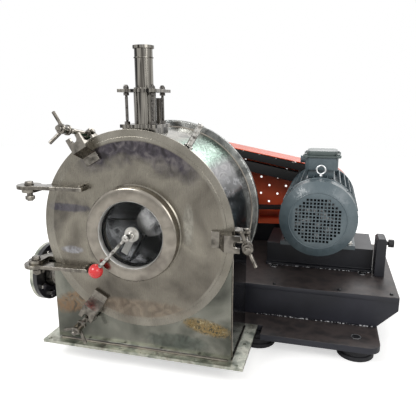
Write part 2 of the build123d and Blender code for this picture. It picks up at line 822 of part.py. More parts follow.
scroll_front = drum_front + drum_depth / 4
scroll_back = drum_front + drum_depth - drum_wall
with BuildPart() as drum_scroll:
    with BuildSketch(upright(scroll_front)):
        Circle(scroll_nose_radius)
    with BuildSketch(upright(scroll_back)):
        Circle(scroll_base_radius)
    loft()
    for spoke in range(drum_spoke_count):
        with BuildSketch(dial(spoke * 360 / drum_spoke_count, scroll_back)):
            with Locations(((scroll_nose_radius + drum_lip_radius) / 2, 0)):
                Rectangle(drum_lip_radius - scroll_nose_radius, scroll_vane)
        extrude(amount=scroll_back - scroll_front - scroll_vane)
drum_scroll.part.label = "drum_scroll"
pieces.append(drum_scroll.part)

with BuildPart() as drum_shaft:
    with BuildSketch(upright(drum_front + drum_depth)):
        Circle(shaft_radius)
    extrude(amount=-(pulley_back + shaft_tail - drum_front - drum_depth))
drum_shaft.part.label = "drum_shaft"
pieces.append(drum_shaft.part)

with BuildPart() as bearing_housing:
    with BuildSketch(upright(back_plate_back)):
        Circle(bearing_flange_radius)
    extrude(amount=-bearing_flange_thickness)
    with BuildSketch(upright(back_plate_back)):
        Circle(bearing_radius)
    extrude(amount=-(bearing_back - back_plate_back))
    with BuildSketch(upright(bearing_back - bearing_flange_thickness)):
        Circle(bearing_radius + bearing_flange_thickness)
    extrude(amount=-bearing_flange_thickness)
    with BuildSketch(upright(back_plate_back)):
        Circle(shaft_radius + shaft_clearance)
    extrude(amount=-(bearing_back - back_plate_back), mode=Mode.SUBTRACT)
bearing_housing.part.label = "bearing_housing"
pieces.append(bearing_housing.part)

with BuildPart() as bearing_pedestal:
    with BuildSketch(floor_plan(base_top)):
        with Locations((0, (pedestal_front + pedestal_back) / 2)):
            Rectangle(2 * pedestal_half_width, pedestal_back - pedestal_front)
    extrude(amount=drum_axis_height - base_top - pedestal_cradle_drop, taper=pedestal_taper)
    with BuildSketch(upright(back_plate_back)):
        Circle(bearing_radius)
    extrude(amount=-(bearing_back - back_plate_back), mode=Mode.SUBTRACT)
bearing_pedestal.part.label = "bearing_pedestal"
pieces.append(bearing_pedestal.part)

# Base
with BuildPart() as base_frame:
    with BuildSketch(Plane((0, behind(base_front), 0), x_dir=(1, 0, 0), z_dir=(0, -1, 0))):
        with BuildLine():
            Polyline(
                (base_left, sole_top),
                (base_right - base_chamfer, sole_top),
                (base_right, sole_top + base_chamfer),
                (base_right, base_top),
                (base_left, base_top),
                close=True,
            )
        make_face()
    extrude(amount=-(base_back - base_front))
base_frame.part.label = "base_frame"
pieces.append(base_frame.part)

with BuildPart() as sole_plate:
    with BuildSketch(floor_plan(sole_top - sole_thickness)):
        with BuildLine():
            Polyline(
                (sole_tongue_left, sole_front),
                (sole_right, sole_front),
                (sole_right, base_back),
                (base_left, base_back),
                (base_left, sole_inner_front),
                (sole_tongue_left, sole_inner_front),
                close=True,
            )
        make_face()
    extrude(amount=sole_thickness)
    front_corners = sole_plate.edges().filter_by(Axis.Z).group_by(Axis.Y)[0]
    fillet(front_corners.sort_by(Axis.X)[-1], sole_corner_radius)
sole_plate.part.label = "sole_plate"
pieces.append(sole_plate.part)

foot_places = [(x, y) for x in foot_columns for y in foot_rows]
foot_places += [(foot_left_x, foot_left_row), (foot_left_x, foot_rows[1])]
foot_top = sole_top - sole_thickness
with BuildPart() as feet:
    with BuildSketch(floor_plan(foot_top)):
        with Locations(*foot_places):
            Circle(foot_radius)
    extrude(amount=-(floor_drop + foot_top))
    rim_edges = feet.edges().filter_by(GeomType.CIRCLE)
    fillet(rim_edges, foot_round)
feet.part.label = "feet"
pieces.append(feet.part)

# Motor slide
slide_mid = ((slide_left + slide_right) / 2, (slide_front + slide_back) / 2)
with BuildPart() as motor_slide:
    with BuildSketch(floor_plan(base_top)):
        with Locations(slide_mid):
            Rectangle(slide_right - slide_left, slide_back - slide_front)
    extrude(amount=slide_lip_thickness)
    with BuildSketch(floor_plan(base_top)):
        with Locations(slide_mid):
            Rectangle(slide_right - slide_left, slide_back - slide_front - 2 * slide_lip)
    extrude(amount=slide_height)
motor_slide.part.label = "motor_slide"
pieces.append(motor_slide.part)

with BuildPart() as slide_post:
    with BuildSketch(floor_plan(base_top)):
        with Locations((slide_right + slide_post_gap + slide_post_width / 2, slide_post_front + slide_post_depth / 2)):
            Rectangle(slide_post_width, slide_post_depth)
    extrude(amount=slide_post_height)
    top_edges = slide_post.edges().filter_by(Axis.Y).group_by(Axis.Z)[-1]
    chamfer(top_edges, slide_post_width / 5)
slide_post.part.label = "slide_post"
pieces.append(slide_post.part)

jack_y = slide_post_front + slide_post_depth / 2
jack_plane = Plane((slide_right + slide_post_gap + slide_post_width, behind(jack_y), base_top + jack_height), z_dir=(1, 0, 0))
with BuildPart() as jack_screw:
    with BuildSketch(jack_plane):
        Circle(jack_radius)
    extrude(amount=jack_knob_length / 2)
    with BuildSketch(jack_plane.offset(jack_knob_length / 2)):
        Circle(jack_knob_radius)
    extrude(amount=jack_knob_length)
jack_screw.part.label = "jack_screw"
pieces.append(jack_screw.part)


# Motor
def motor_plane(distance):
    """Vertical plane on the motor's axis at this distance behind the door's face."""
    return Plane((motor_x, behind(distance), motor_axis_height), x_dir=(1, 0, 0), z_dir=(0, -1, 0))


with BuildPart() as motor_frame:
    with BuildSketch(motor_plane(motor_cowl_back)):
        Circle(motor_frame_radius)
        with PolarLocations(motor_fin_radius / 2, motor_fin_count):
            Rectangle(motor_fin_radius, motor_fin_thickness)
    extrude(amount=-(motor_back - motor_cowl_back - motor_shield))
    with BuildSketch(motor_plane(motor_back - motor_shield)):
        Circle(motor_fin_radius)
    extrude(amount=-motor_shield)
    with BuildSketch(floor_plan(base_top + slide_height)):
        with Locations((motor_x, (motor_foot_front + motor_foot_back) / 2)):
            Rectangle(motor_foot_width, motor_foot_back - motor_foot_front)
            Rectangle(motor_foot_gap, motor_foot_back - motor_foot_front, mode=Mode.SUBTRACT)
    extrude(amount=motor_foot_thickness)
    with BuildSketch(floor_plan(base_top + slide_height)):
        with Locations((motor_x, (motor_foot_front + motor_foot_back) / 2)):
            Rectangle(motor_foot_gap + 2 * motor_foot_thickness, motor_foot_back - motor_foot_front)
            Rectangle(motor_foot_gap, motor_foot_back - motor_foot_front, mode=Mode.SUBTRACT)
    extrude(amount=motor_shaft_height)
    with BuildSketch(motor_plane(motor_cowl_back)):
        Circle(motor_shaft_radius + shaft_clearance)
    extrude(amount=-(motor_back - motor_cowl_back), mode=Mode.SUBTRACT)
motor_frame.part.label = "motor_frame"
pieces.append(motor_frame.part)

with BuildPart() as fan_cowl:
    with BuildSketch(motor_plane(motor_cowl_back)):
        Circle(motor_cowl_radius)
    extrude(amount=motor_cowl_back - motor_cowl_front)
    with BuildSketch(motor_plane(motor_cowl_front)):
        Circle(motor_cowl_radius)
    with BuildSketch(motor_plane(motor_face)):
        Circle(motor_face_radius)
    loft()
    offset(amount=-motor_cowl_wall, openings=fan_cowl.faces().sort_by(Axis.Y)[-1])
    with BuildSketch(motor_plane(motor_face + motor_cowl_wall)):
        with GridLocations(cowl_grid_pitch, cowl_grid_pitch, cowl_grid_count, cowl_grid_count) as grid:
            near = [spot for spot in grid.local_locations if spot.position.length < cowl_grid_radius]
        with Locations(*near):
            Rectangle(cowl_hole, cowl_hole)
    extrude(amount=2 * motor_cowl_wall, mode=Mode.SUBTRACT)
fan_cowl.part.label = "fan_cowl"
pieces.append(fan_cowl.part)

with BuildPart() as motor_fan:
    with BuildSketch(motor_plane(motor_cowl_front + fan_gap)):
        Circle(fan_radius)
    extrude(amount=-fan_disc)
    with BuildSketch(motor_plane(motor_cowl_front + fan_gap)):
        Circle(2 * motor_shaft_radius)
        with PolarLocations(fan_radius / 2, fan_blade_count):
            Rectangle(fan_radius - fan_disc, fan_disc)
    extrude(amount=-fan_depth)
motor_fan.part.label = "motor_fan"
pieces.append(motor_fan.part)

with BuildPart() as motor_shaft:
    with BuildSketch(motor_plane(motor_cowl_front + fan_gap + fan_depth)):
        Circle(motor_shaft_radius)
    extrude(amount=-(pulley_back - motor_cowl_front - fan_gap - fan_depth))
motor_shaft.part.label = "motor_shaft"
pieces.append(motor_shaft.part)

terminal_base = motor_axis_height + terminal_bottom
with BuildPart() as terminal_box:
    with BuildSketch(floor_plan(terminal_base)):
        with Locations((motor_x, (terminal_front + terminal_back) / 2)):
            RectangleRounded(terminal_width, terminal_back - terminal_front, terminal_round)
    extrude(amount=terminal_height)
    with BuildSketch(Plane((motor_x - terminal_width / 2, behind(gland_back), terminal_base + gland_height), z_dir=(-1, 0, 0))):
        Circle(gland_radius)
    extrude(amount=gland_stand)
    with BuildSketch(Plane((motor_x - terminal_width / 2, behind(gland_back), terminal_base + gland_height), z_dir=(-1, 0, 0))):
        Circle(gland_bore)
    extrude(amount=gland_stand, mode=Mode.SUBTRACT)
    with BuildSketch(motor_plane(terminal_front)):
        Circle(motor_fin_radius + seat_clearance)
    extrude(amount=-(terminal_back - terminal_front), mode=Mode.SUBTRACT)
terminal_box.part.label = "terminal_box"
pieces.append(terminal_box.part)

with BuildPart() as terminal_lid:
    with BuildSketch(floor_plan(terminal_base + terminal_height)):
        with Locations((motor_x, (terminal_front + terminal_back) / 2)):
            RectangleRounded(terminal_width + terminal_round, terminal_back - terminal_front + terminal_round, terminal_round)
    extrude(amount=terminal_lid_height, taper=terminal_lid_taper)
terminal_lid.part.label = "terminal_lid"
pieces.append(terminal_lid.part)

eyebolt_height = motor_axis_height + motor_fin_radius + eyebolt_shank + eyebolt_ring - eyebolt_thickness
with BuildPart() as eyebolt:
    with BuildSketch(Plane((motor_x, behind(eyebolt_back), eyebolt_height), x_dir=(1, 0, 0), z_dir=(0, -1, 0))):
        Circle(eyebolt_ring)
        Circle(eyebolt_ring - eyebolt_thickness, mode=Mode.SUBTRACT)
    extrude(amount=eyebolt_thickness / 2, both=True)
    with BuildSketch(Plane((motor_x, behind(eyebolt_back), eyebolt_height - eyebolt_ring + eyebolt_thickness))):
        Circle(eyebolt_thickness)
    extrude(amount=-2 * eyebolt_shank)
    with BuildSketch(motor_plane(eyebolt_back - eyebolt_ring)):
        Circle(motor_fin_radius + seat_clearance)
    extrude(amount=-2 * eyebolt_ring, mode=Mode.SUBTRACT)
eyebolt.part.label = "eyebolt"
pieces.append(eyebolt.part)

# Pulleys, belts and guard
with BuildPart() as drum_pulley:
    with BuildSketch(upright(pulley_front)):
        Circle(drum_pulley_radius)
        Circle(shaft_radius, mode=Mode.SUBTRACT)
    extrude(amount=-pulley_width)
drum_pulley.part.label = "drum_pulley"
pieces.append(drum_pulley.part)

with BuildPart() as motor_pulley:
    with BuildSketch(motor_plane(pulley_front)):
        Circle(motor_pulley_radius)
        Circle(motor_shaft_radius, mode=Mode.SUBTRACT)
    extrude(amount=-pulley_width)
motor_pulley.part.label = "motor_pulley"
pieces.append(motor_pulley.part)

motor_from_drum = (motor_x, motor_axis_height - drum_axis_height)


def loop_profile(drum_end, motor_end):
    """Sketch outline of a taut loop round the two axes with these end radii."""
    Circle(drum_end)
    with Locations(motor_from_drum):
        Circle(motor_end)
    make_hull()


with BuildPart() as drive_belts:
    with BuildSketch(upright(pulley_front + belt_inset)):
        loop_profile(drum_pulley_radius + belt_clearance + belt_thickness, motor_pulley_radius + belt_clearance + belt_thickness)
    extrude(amount=-(pulley_width - 2 * belt_inset))
    with BuildSketch(upright(pulley_front + belt_inset)):
        loop_profile(drum_pulley_radius + belt_clearance, motor_pulley_radius + belt_clearance)
    extrude(amount=-(pulley_width - 2 * belt_inset), mode=Mode.SUBTRACT)
drive_belts.part.label = "drive_belts"
pieces.append(drive_belts.part)

with BuildPart() as belt_guard:
    with BuildSketch(upright(guard_front)):
        loop_profile(guard_drum_radius, guard_motor_radius)
    extrude(amount=-(guard_back - guard_front))
    with BuildSketch(upright(guard_front)):
        loop_profile(guard_drum_radius - guard_sheet, guard_motor_radius - guard_sheet)
    extrude(amount=-(guard_back - guard_front - guard_sheet), mode=Mode.SUBTRACT)
    with BuildSketch(upright(guard_back - guard_sheet)):
        for shift in (0, guard_hole_pitch / 2):
            with Locations((guard_grid_x + shift, guard_grid_z + shift)):
                with GridLocations(guard_hole_pitch, guard_hole_pitch, guard_hole_columns, guard_hole_rows):
                    Circle(guard_hole_radius)
    extrude(amount=-guard_sheet, mode=Mode.SUBTRACT)
belt_guard.part.label = "belt_guard"
pieces.append(belt_guard.part)

with BuildPart() as guard_feet:
    for foot_x in (0, motor_x):
        with BuildSketch(floor_plan(base_top)):
            with Locations((foot_x, guard_front + guard_foot_inset)):
                Rectangle(guard_foot_width, guard_foot_depth)
        extrude(amount=drum_axis_height - base_top)
    with BuildSketch(upright(guard_front)):
        loop_profile(guard_drum_radius, guard_motor_radius)
    extrude(amount=-(guard_back - guard_front), mode=Mode.SUBTRACT)
guard_feet.part.label = "guard_feet"
pieces.append(guard_feet.part)

os.makedirs("parts", exist_ok=True)
for piece in pieces:
    export_step(piece, f"parts/{piece.label}.step")
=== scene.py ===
import json
import math
import random

import bmesh
import bpy
from mathutils import Matrix, Vector

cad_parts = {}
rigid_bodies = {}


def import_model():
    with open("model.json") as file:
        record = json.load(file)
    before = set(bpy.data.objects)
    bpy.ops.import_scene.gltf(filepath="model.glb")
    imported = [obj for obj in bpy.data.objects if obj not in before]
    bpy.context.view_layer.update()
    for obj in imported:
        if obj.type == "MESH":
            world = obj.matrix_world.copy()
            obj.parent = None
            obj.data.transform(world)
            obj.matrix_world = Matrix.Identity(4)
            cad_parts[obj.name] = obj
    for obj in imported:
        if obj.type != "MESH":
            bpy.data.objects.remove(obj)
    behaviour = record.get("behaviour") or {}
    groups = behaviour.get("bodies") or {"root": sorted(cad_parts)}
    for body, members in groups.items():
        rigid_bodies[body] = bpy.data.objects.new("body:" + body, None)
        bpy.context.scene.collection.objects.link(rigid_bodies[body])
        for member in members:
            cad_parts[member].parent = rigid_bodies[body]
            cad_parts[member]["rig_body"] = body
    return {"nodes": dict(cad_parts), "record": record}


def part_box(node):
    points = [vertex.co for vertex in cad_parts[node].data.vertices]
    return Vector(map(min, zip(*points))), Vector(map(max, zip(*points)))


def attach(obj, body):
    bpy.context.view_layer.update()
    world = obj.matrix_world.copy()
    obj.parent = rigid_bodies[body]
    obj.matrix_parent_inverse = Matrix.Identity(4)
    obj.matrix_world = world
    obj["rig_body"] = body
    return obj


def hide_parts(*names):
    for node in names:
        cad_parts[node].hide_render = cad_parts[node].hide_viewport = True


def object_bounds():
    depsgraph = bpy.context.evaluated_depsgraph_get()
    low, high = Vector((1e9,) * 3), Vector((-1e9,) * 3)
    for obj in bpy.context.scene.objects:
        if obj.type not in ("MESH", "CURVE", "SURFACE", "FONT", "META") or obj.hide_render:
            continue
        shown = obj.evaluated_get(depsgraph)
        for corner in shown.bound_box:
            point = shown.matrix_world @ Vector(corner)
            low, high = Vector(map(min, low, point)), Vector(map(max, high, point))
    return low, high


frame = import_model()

bl_info = {
    "name": "Screen centrifuge",
    "version": (1, 0, 0),
    "blender": (4, 5, 0),
    "location": "View3D > Sidebar > Centrifuge",
    "description": "Dresses the packed centrifuge with detailed pieces and finishes",
    "category": "Object",
}

CAD_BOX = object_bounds()
FLOOR = CAD_BOX[0][2]
MM = 0.001
DOOR_LOW, DOOR_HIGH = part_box("door_disc")
PULLEY_LOW, PULLEY_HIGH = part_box("motor_pulley")
DOOR_FACE = DOOR_LOW.y

# Faces that meet at less than this many degrees are one smooth surface.
SMOOTH_ANGLE = 35.0

UP = (0.0, 0.0, 1.0)
FORWARD = (0.0, -1.0, 0.0)
BACKWARD = (0.0, 1.0, 0.0)

# Places and sizes in mm, across, behind the door's face and above the flange's underside.
AXIS = (DOOR_LOW.z + DOOR_HIGH.z) / 2 / MM
SHELL_BACK = 412.0
CHUTE_SIDE = 361.5
CHUTE_BACK = 298.0
RING_RADIUS = 175.0
RING_STAND = 45.0
RING_BORE = 123.0
GLASS_RADIUS = 140.3
GLASS_SETBACK = 21.0
WIPER_ANGLE = 227.0
WIPER_STAND = 79.0
WIPER_REACH = 180.0
BALL_RADIUS = 26.5
BASKET_FRONT = 86.0
BEARING_FACE = 464.2
BEARING_BOLTS = 168.0

# Each clamp's angle round the door, its rest swing, the angles of its two wings and its pivot's depth.
CLAMP_RADIUS = 400.0
CLAMPS = ((0.0, 12.5, (110.0, -65.0), 60.0), (120.0, 12.5, (0.0, 110.0), 60.0),
          (240.0, 26.0, (-44.0, 54.0), -4.3))
FORK_FRONT = 53.0
NUT_LENGTH = 46.0
THREAD_RADIUS = 9.9
FEED_X = 16.0
FEED_BACK = 95.0
FEED_TUBE_RADIUS = 32.4
FEED_BASE_TOP = 874.0
FEED_PLATE_TOP = 995.0
TIE_PITCH = 98.0
POST_ANGLE = 58.0
MOTOR_X = (PULLEY_LOW.x + PULLEY_HIGH.x) / 2 / MM
MOTOR_Z = (PULLEY_LOW.z + PULLEY_HIGH.z) / 2 / MM
COWL_FACE = 516.0
COWL_BACK = 640.0
COWL_RADIUS = 174.0
TERMINAL_BACK = 765.0
TERMINAL_LID = 701.0
BASE_TOP = 152.0
BASE_FRONT = 442.0
SLIDE_TOP = 262.0
SLIDE_FRONT = 706.0
SLIDE_LUGS = (432.0, 852.0)
SOLE_TOP = 5.0
SOLE_HOLE = (820.0, 338.0)
GUARD_FRONT = 1056.0
GUARD_SLOPE = -11.1
GUARD_EDGE_RADIUS = 235.0

# The camera: its place in metres, degrees down and to the left, focal length in mm and lens shift.
CAMERA_PLACE = (0.6714, -1.6024, 0.950)
CAMERA_DOWN = 13.448
CAMERA_LEFT = 14.987
CAMERA_LENS = 38.94
CAMERA_SHIFT = (-0.0039, 0.0046)


def spot(x, back, z):
    """A point from millimetres across, behind the door's face and above the flange's underside."""
    return Vector((x * MM, DOOR_FACE + back * MM, z * MM))


def ray(degrees):
    """A direction in the front view, counted from the right upwards."""
    turn = math.radians(degrees)
    return Vector((math.cos(turn), 0.0, math.sin(turn)))


def linear(code):
    """Linear colour with alpha from an sRGB hex value."""
    channels = [int(code[i:i + 2], 16) / 255 for i in (1, 3, 5)]
    return tuple(c / 12.92 if c <= 0.04045 else ((c + 0.055) / 1.055) ** 2.4 for c in channels) + (1.0,)


def add_node(tree, kind, inputs=None, stops=(), **settings):
    """Adds a node with its settings, links and a ramp's stops; an input is a value, an output or a node."""
    node = tree.nodes.new(kind)
    for key, value in settings.items():
        setattr(node, key, value)
    for socket, value in (inputs or {}).items():
        if isinstance(value, bpy.types.Node):
            value = value.outputs[0]
        if isinstance(value, bpy.types.NodeSocket):
            tree.links.new(value, node.inputs[socket])
        else:
            node.inputs[socket].default_value = value
    if stops:
        elements = node.color_ramp.elements
        while len(elements) < len(stops):
            elements.new(0.5)
        for element, (place, colour) in zip(elements, stops):
            element.position = place
            element.color = linear(colour) if isinstance(colour, str) else (*colour, 1.0)
    return node


def blank_material(name):
    """An empty node material and its tree."""
    made = bpy.data.materials.new(name)
    made.use_nodes = True
    made.node_tree.nodes.clear()
    return made, made.node_tree


def finish_shader(made, inputs, gloss=None, skin=None):
    """Adds the shader; gloss is a pattern and its roughness range, skin one and its bump and depth in mm."""
    tree = made.node_tree
    if gloss:
        pattern, least, most = gloss
        inputs["Roughness"] = add_node(tree, "ShaderNodeMapRange", {
            "Value": pattern, "To Min": least, "To Max": most})
    if skin:
        pattern, strength, depth_mm = skin
        inputs["Normal"] = add_node(tree, "ShaderNodeBump", {
            "Height": pattern, "Strength": strength, "Distance": depth_mm * MM})
    shader = add_node(tree, "ShaderNodeBsdfPrincipled", inputs)
    add_node(tree, "ShaderNodeOutputMaterial", {"Surface": shader})
    return made


def own_place(tree, center=None):
    """The object's own coordinates, from a centre where one is given."""
    place = add_node(tree, "ShaderNodeTexCoord").outputs["Object"]
    if center is None:
        return place
    return add_node(tree, "ShaderNodeVectorMath", {0: place, 1: center}, operation="SUBTRACT")


def noise(tree, size_mm, detail=3.0, stretch=(1.0, 1.0, 1.0), distortion=0.0):
    """Noise on the object's own coordinates with features about this size in millimetres."""
    drawn = add_node(tree, "ShaderNodeMapping", {"Vector": own_place(tree), "Scale": stretch})
    return add_node(tree, "ShaderNodeTexNoise", {
        "Vector": drawn, "Scale": 1.0 / (size_mm * MM), "Detail": detail, "Distortion": distortion})


def layer(tree, below, mask, pattern, stops):
    """Lays a pattern's colours over those below where the mask is 1."""
    colours = add_node(tree, "ShaderNodeValToRGB", {"Fac": pattern}, stops)
    mixed = add_node(tree, "ShaderNodeMix", {"Factor": mask, 6: below, 7: colours}, data_type="RGBA")
    return mixed.outputs[2]


def height_mask(tree, low_mm, high_mm):
    """0 below the low height over the flange's underside and 1 above the high one."""
    parts = add_node(tree, "ShaderNodeSeparateXYZ", {"Vector": own_place(tree)})
    return add_node(tree, "ShaderNodeMapRange", {
        "Value": parts.outputs["Z"], "From Min": low_mm * MM, "From Max": high_mm * MM})


def patched(tree, colour, patches):
    """Lays oval patches of painted reflection, of (centre, reach, turn, strength, grain, stops), with broken
    edges over a colour.
    """
    ragged = 0.35
    for center, reach, turn, strength, grain_mm, stops in patches:
        level = add_node(tree, "ShaderNodeMapping", {
            "Vector": own_place(tree, spot(*center)), "Rotation": (0.0, math.radians(turn), 0.0)})
        scaled = add_node(tree, "ShaderNodeVectorMath", {
            0: level, 1: Vector([1.0 / (r * MM) for r in reach])}, operation="MULTIPLY")
        away = add_node(tree, "ShaderNodeVectorMath", {0: scaled}, operation="LENGTH")
        broken = add_node(tree, "ShaderNodeMath", {
            0: noise(tree, grain_mm, 4.0, distortion=1.0), 1: 2.0 * ragged, 2: away.outputs["Value"]},
            operation="MULTIPLY_ADD")
        mask = add_node(tree, "ShaderNodeMapRange", {
            "Value": broken, "From Min": 0.75 + ragged, "From Max": 1.15 + ragged,
            "To Min": strength, "To Max": 0.0})
        colour = layer(tree, colour, mask, noise(tree, grain_mm, 5.0, distortion=1.5), stops)
    return colour


def door_rim(tree, colour):
    """The rim outside the door's seam is paler, and a dark arc of painted reflection lies inside its top."""
    center = Vector((0.0, 0.0, AXIS * MM))
    parts = add_node(tree, "ShaderNodeSeparateXYZ", {"Vector": own_place(tree, center)})
    flat = add_node(tree, "ShaderNodeCombineXYZ", {"X": parts.outputs["X"], "Z": parts.outputs["Z"]})
    away = add_node(tree, "ShaderNodeVectorMath", {0: flat}, operation="LENGTH").outputs["Value"]
    angle = add_node(tree, "ShaderNodeMath", {0: parts.outputs["Z"], 1: parts.outputs["X"]},
                     operation="ARCTAN2")
    wavy = add_node(tree, "ShaderNodeMath", {0: noise(tree, 50.0, 4.0), 1: 0.11, 2: away},
                    operation="MULTIPLY_ADD")
    # The painted reflection arc fades in at its wavy inside and first end, and out at the seam and its last
    # end.
    arc = 0.85
    for value, start, end, low, high in (
            (wavy, 0.3000, 0.3500, 0.0, 1.0), (away, 0.3300, 0.3345, 1.0, 0.0),
            (angle, math.radians(36), math.radians(52), 0.0, 1.0),
            (angle, math.radians(120), math.radians(136), 1.0, 0.0)):
        edge = add_node(tree, "ShaderNodeMapRange", {
            "Value": value, "From Min": start, "From Max": end, "To Min": low, "To Max": high})
        arc = add_node(tree, "ShaderNodeMath", {0: arc, 1: edge}, operation="MULTIPLY")
    colour = layer(tree, colour, arc, noise(tree, 45.0, 5.0, distortion=1.5), (
        (0.38, "#26242e"), (0.52, "#45414c"), (0.66, "#6d686b")))
    rim = add_node(tree, "ShaderNodeMapRange", {
        "Value": away, "From Min": 0.3335, "From Max": 0.3375, "To Min": 0.0, "To Max": 0.55})
    return layer(tree, colour, rim, noise(tree, 160.0, 4.0), ((0.36, "#77736a"), (0.60, "#a5a197")))


def stainless(name, stops, patch_mm, roughness, stretch=(1.0, 1.0, 1.0), wave=0.0):
    """Stainless fittings: soft patches of tone, on the bright parts painted reflections, with polishing marks
    that vary the gloss.
    """
    made, tree = blank_material(name)
    # A polished part is never even: broad patches of tone run into each other, and on the tube, the cone and
    # the fasteners they are painted reflections.
    patches = noise(tree, patch_mm, 3.0, stretch, wave)
    # Polishing marks are about a tenth of a millimetre, drawn coarser so that they show.
    marks = noise(tree, 8.0, 4.0, (1.0, 1.0, 0.15))
    return finish_shader(made, {
        "Base Color": add_node(tree, "ShaderNodeValToRGB", {"Fac": patches}, stops), "Metallic": 1.0},
        (marks, roughness - 0.06, roughness + 0.08), (marks, 0.15, 0.2))


def brushed_sheet(name, stops, patch_mm, roughness, patches=(), rim=False):
    """Polished sheet: soft broad tones with darker and warmer patches of painted reflection."""
    made, tree = blank_material(name)
    tones = noise(tree, patch_mm, 4.0, distortion=0.4)
    colour = patched(tree, add_node(tree, "ShaderNodeValToRGB", {"Fac": tones}, stops), patches)
    if rim:
        colour = door_rim(tree, colour)
    # Polishing marks are about a tenth of a millimetre, drawn as fine upright streaks so that they show.
    marks = noise(tree, 7.0, 4.0, (1.0, 1.0, 0.12))
    return finish_shader(made, {"Base Color": colour, "Metallic": 1.0},
                         (marks, roughness - 0.05, roughness + 0.08), (marks, 0.12, 0.15))


def housing_reflection_bands(name):
    """Rolled housing sheet with bands of painted reflection: pale on top, a green wavy band below it and
    near-black broken lower down.
    """
    made, tree = blank_material(name)
    # On the round shell the painted reflections are drawn out as streaks along its axis.
    streaks = noise(tree, 60.0, 5.0, (1.0, 0.45, 1.0), 1.6)
    shade = noise(tree, 120.0, 4.0, (1.0, 1.6, 0.5), 0.4)
    # The dark base and the bands by height over it, near-black, grey, green and pale, are painted
    # reflections.
    colour = add_node(tree, "ShaderNodeValToRGB", {"Fac": shade}, (
        (0.30, "#17161c"), (0.46, "#302e38"), (0.58, "#4e4c55"), (0.72, "#222129")))
    for low_mm, high_mm, stops in (
            (455.0, 500.0, ((0.40, "#0f1012"), (0.52, "#24242a"), (0.58, "#8b8b8e"), (0.64, "#1a1a1e"))),
            (655.0, 700.0, ((0.30, "#4f4e50"), (0.45, "#a4a3a3"), (0.60, "#7b7a7c"), (0.72, "#c3c2c1"))),
            (715.0, 745.0, ((0.34, "#39584a"), (0.46, "#8fb09d"), (0.54, "#4a6a5a"), (0.66, "#a6c3b1"))),
            (806.0, 824.0, ((0.32, "#6d6a62"), (0.48, "#b4b0a5"), (0.62, "#8d897f"), (0.75, "#c9c6bc")))):
        colour = layer(tree, colour, height_mask(tree, low_mm, high_mm), streaks, stops)
    marks = noise(tree, 8.0, 4.0, (1.0, 0.2, 1.0))
    return finish_shader(made, {"Base Color": colour, "Metallic": 1.0},
                         (marks, 0.1, 0.22), (marks, 0.12, 0.2))


def guard_enamel(name, paint):
    """Orange enamel with a painted shadow of the drum low down on its inner front sheet, and that front sheet
    painted brighter than the rest.
    """
    made, tree = blank_material(name)
    blotch = noise(tree, 110.0, 5.0)
    parts = add_node(tree, "ShaderNodeSeparateXYZ", {"Vector": own_place(tree)})
    height = parts.outputs["Z"]
    slope = add_node(tree, "ShaderNodeMath", {0: parts.outputs["X"], 1: -1.17, 2: height},
                     operation="MULTIPLY_ADD")
    # Masks of the sheet's front, which is painted brighter, and of the painted shadow on the low strip along
    # the base and in the corner below the drum.
    front, low, corner = (
        add_node(tree, "ShaderNodeMapRange", {
            "Value": value, "From Min": start, "From Max": end, "To Min": 1.0, "To Max": 0.0})
        for value, start, end in (
            (parts.outputs["Y"], spot(0.0, GUARD_FRONT + 2.0, 0.0).y, spot(0.0, GUARD_FRONT + 8.0, 0.0).y),
            (height, 0.30, 0.35), (slope, -0.15, -0.09)))
    shadow = add_node(tree, "ShaderNodeMath", {0: corner, 1: low}, operation="MAXIMUM")
    painted_shadow = add_node(tree, "ShaderNodeMath", {0: shadow, 1: front}, operation="MULTIPLY")
    colour = add_node(tree, "ShaderNodeValToRGB", {"Fac": blotch}, ((0.35, paint), (0.75, "#dd6740")))
    # Painted light: the front sheet is a brighter orange than the rest of the guard.
    colour = layer(tree, colour, front, blotch, ((0.35, "#ff4f1c"), (0.75, "#ff7440")))
    # Painted shadow: the low strip and the corner below the drum turn near black on the front sheet.
    colour = layer(tree, colour, painted_shadow, blotch, ((0.35, "#1a0a07"), (0.75, "#3b150c")))
    return finish_shader(made, {"Base Color": colour, "Coat Weight": 0.2, "Coat Roughness": 0.15},
                         (blotch, 0.36, 0.5), (noise(tree, 4.8, 2.0), 0.25, 0.15))


def dusty_enamel(name, top_mm):
    """Black satin enamel with brownish dust on the face at this height."""
    made, tree = blank_material(name)
    blotch = noise(tree, 120.0, 5.0)
    paint = add_node(tree, "ShaderNodeValToRGB", {"Fac": blotch}, ((0.35, "#191a22"), (0.75, "#282932")))
    colour = layer(tree, paint, height_mask(tree, top_mm - 1.5, top_mm - 0.4), noise(tree, 70.0, 6.0), (
        (0.34, "#2a2626"), (0.52, "#453d3b"), (0.68, "#2f2b2b")))
    return finish_shader(made, {"Base Color": colour}, (blotch, 0.36, 0.55),
                         (noise(tree, 5.0, 2.0), 0.25, 0.15))


def enamel(name, base, worn, roughness, coat=0.0, depth_mm=0.15):
    """Sprayed enamel: an even colour with faint blotches and a fine orange-peel skin."""
    made, tree = blank_material(name)
    blotch = noise(tree, 90.0, 5.0)
    # The skin of sprayed paint ripples at about a millimetre, drawn coarser so that it shows.
    peel = noise(tree, 4.8, 2.0)
    return finish_shader(made, {
        "Base Color": add_node(tree, "ShaderNodeValToRGB", {"Fac": blotch}, ((0.35, base), (0.75, worn))),
        "Coat Weight": coat, "Coat Roughness": 0.15},
        (blotch, roughness - 0.05, roughness + 0.1), (peel, 0.25, depth_mm))


def dull(name, base, worn, roughness, grain_mm):
    """Moulded rubber or plastic with a matt grain."""
    made, tree = blank_material(name)
    grain = noise(tree, grain_mm, 4.0)
    return finish_shader(made, {
        "Base Color": add_node(tree, "ShaderNodeValToRGB", {"Fac": grain}, ((0.3, base), (0.8, worn))),
        "Roughness": roughness}, skin=(grain, 0.3, 0.2))


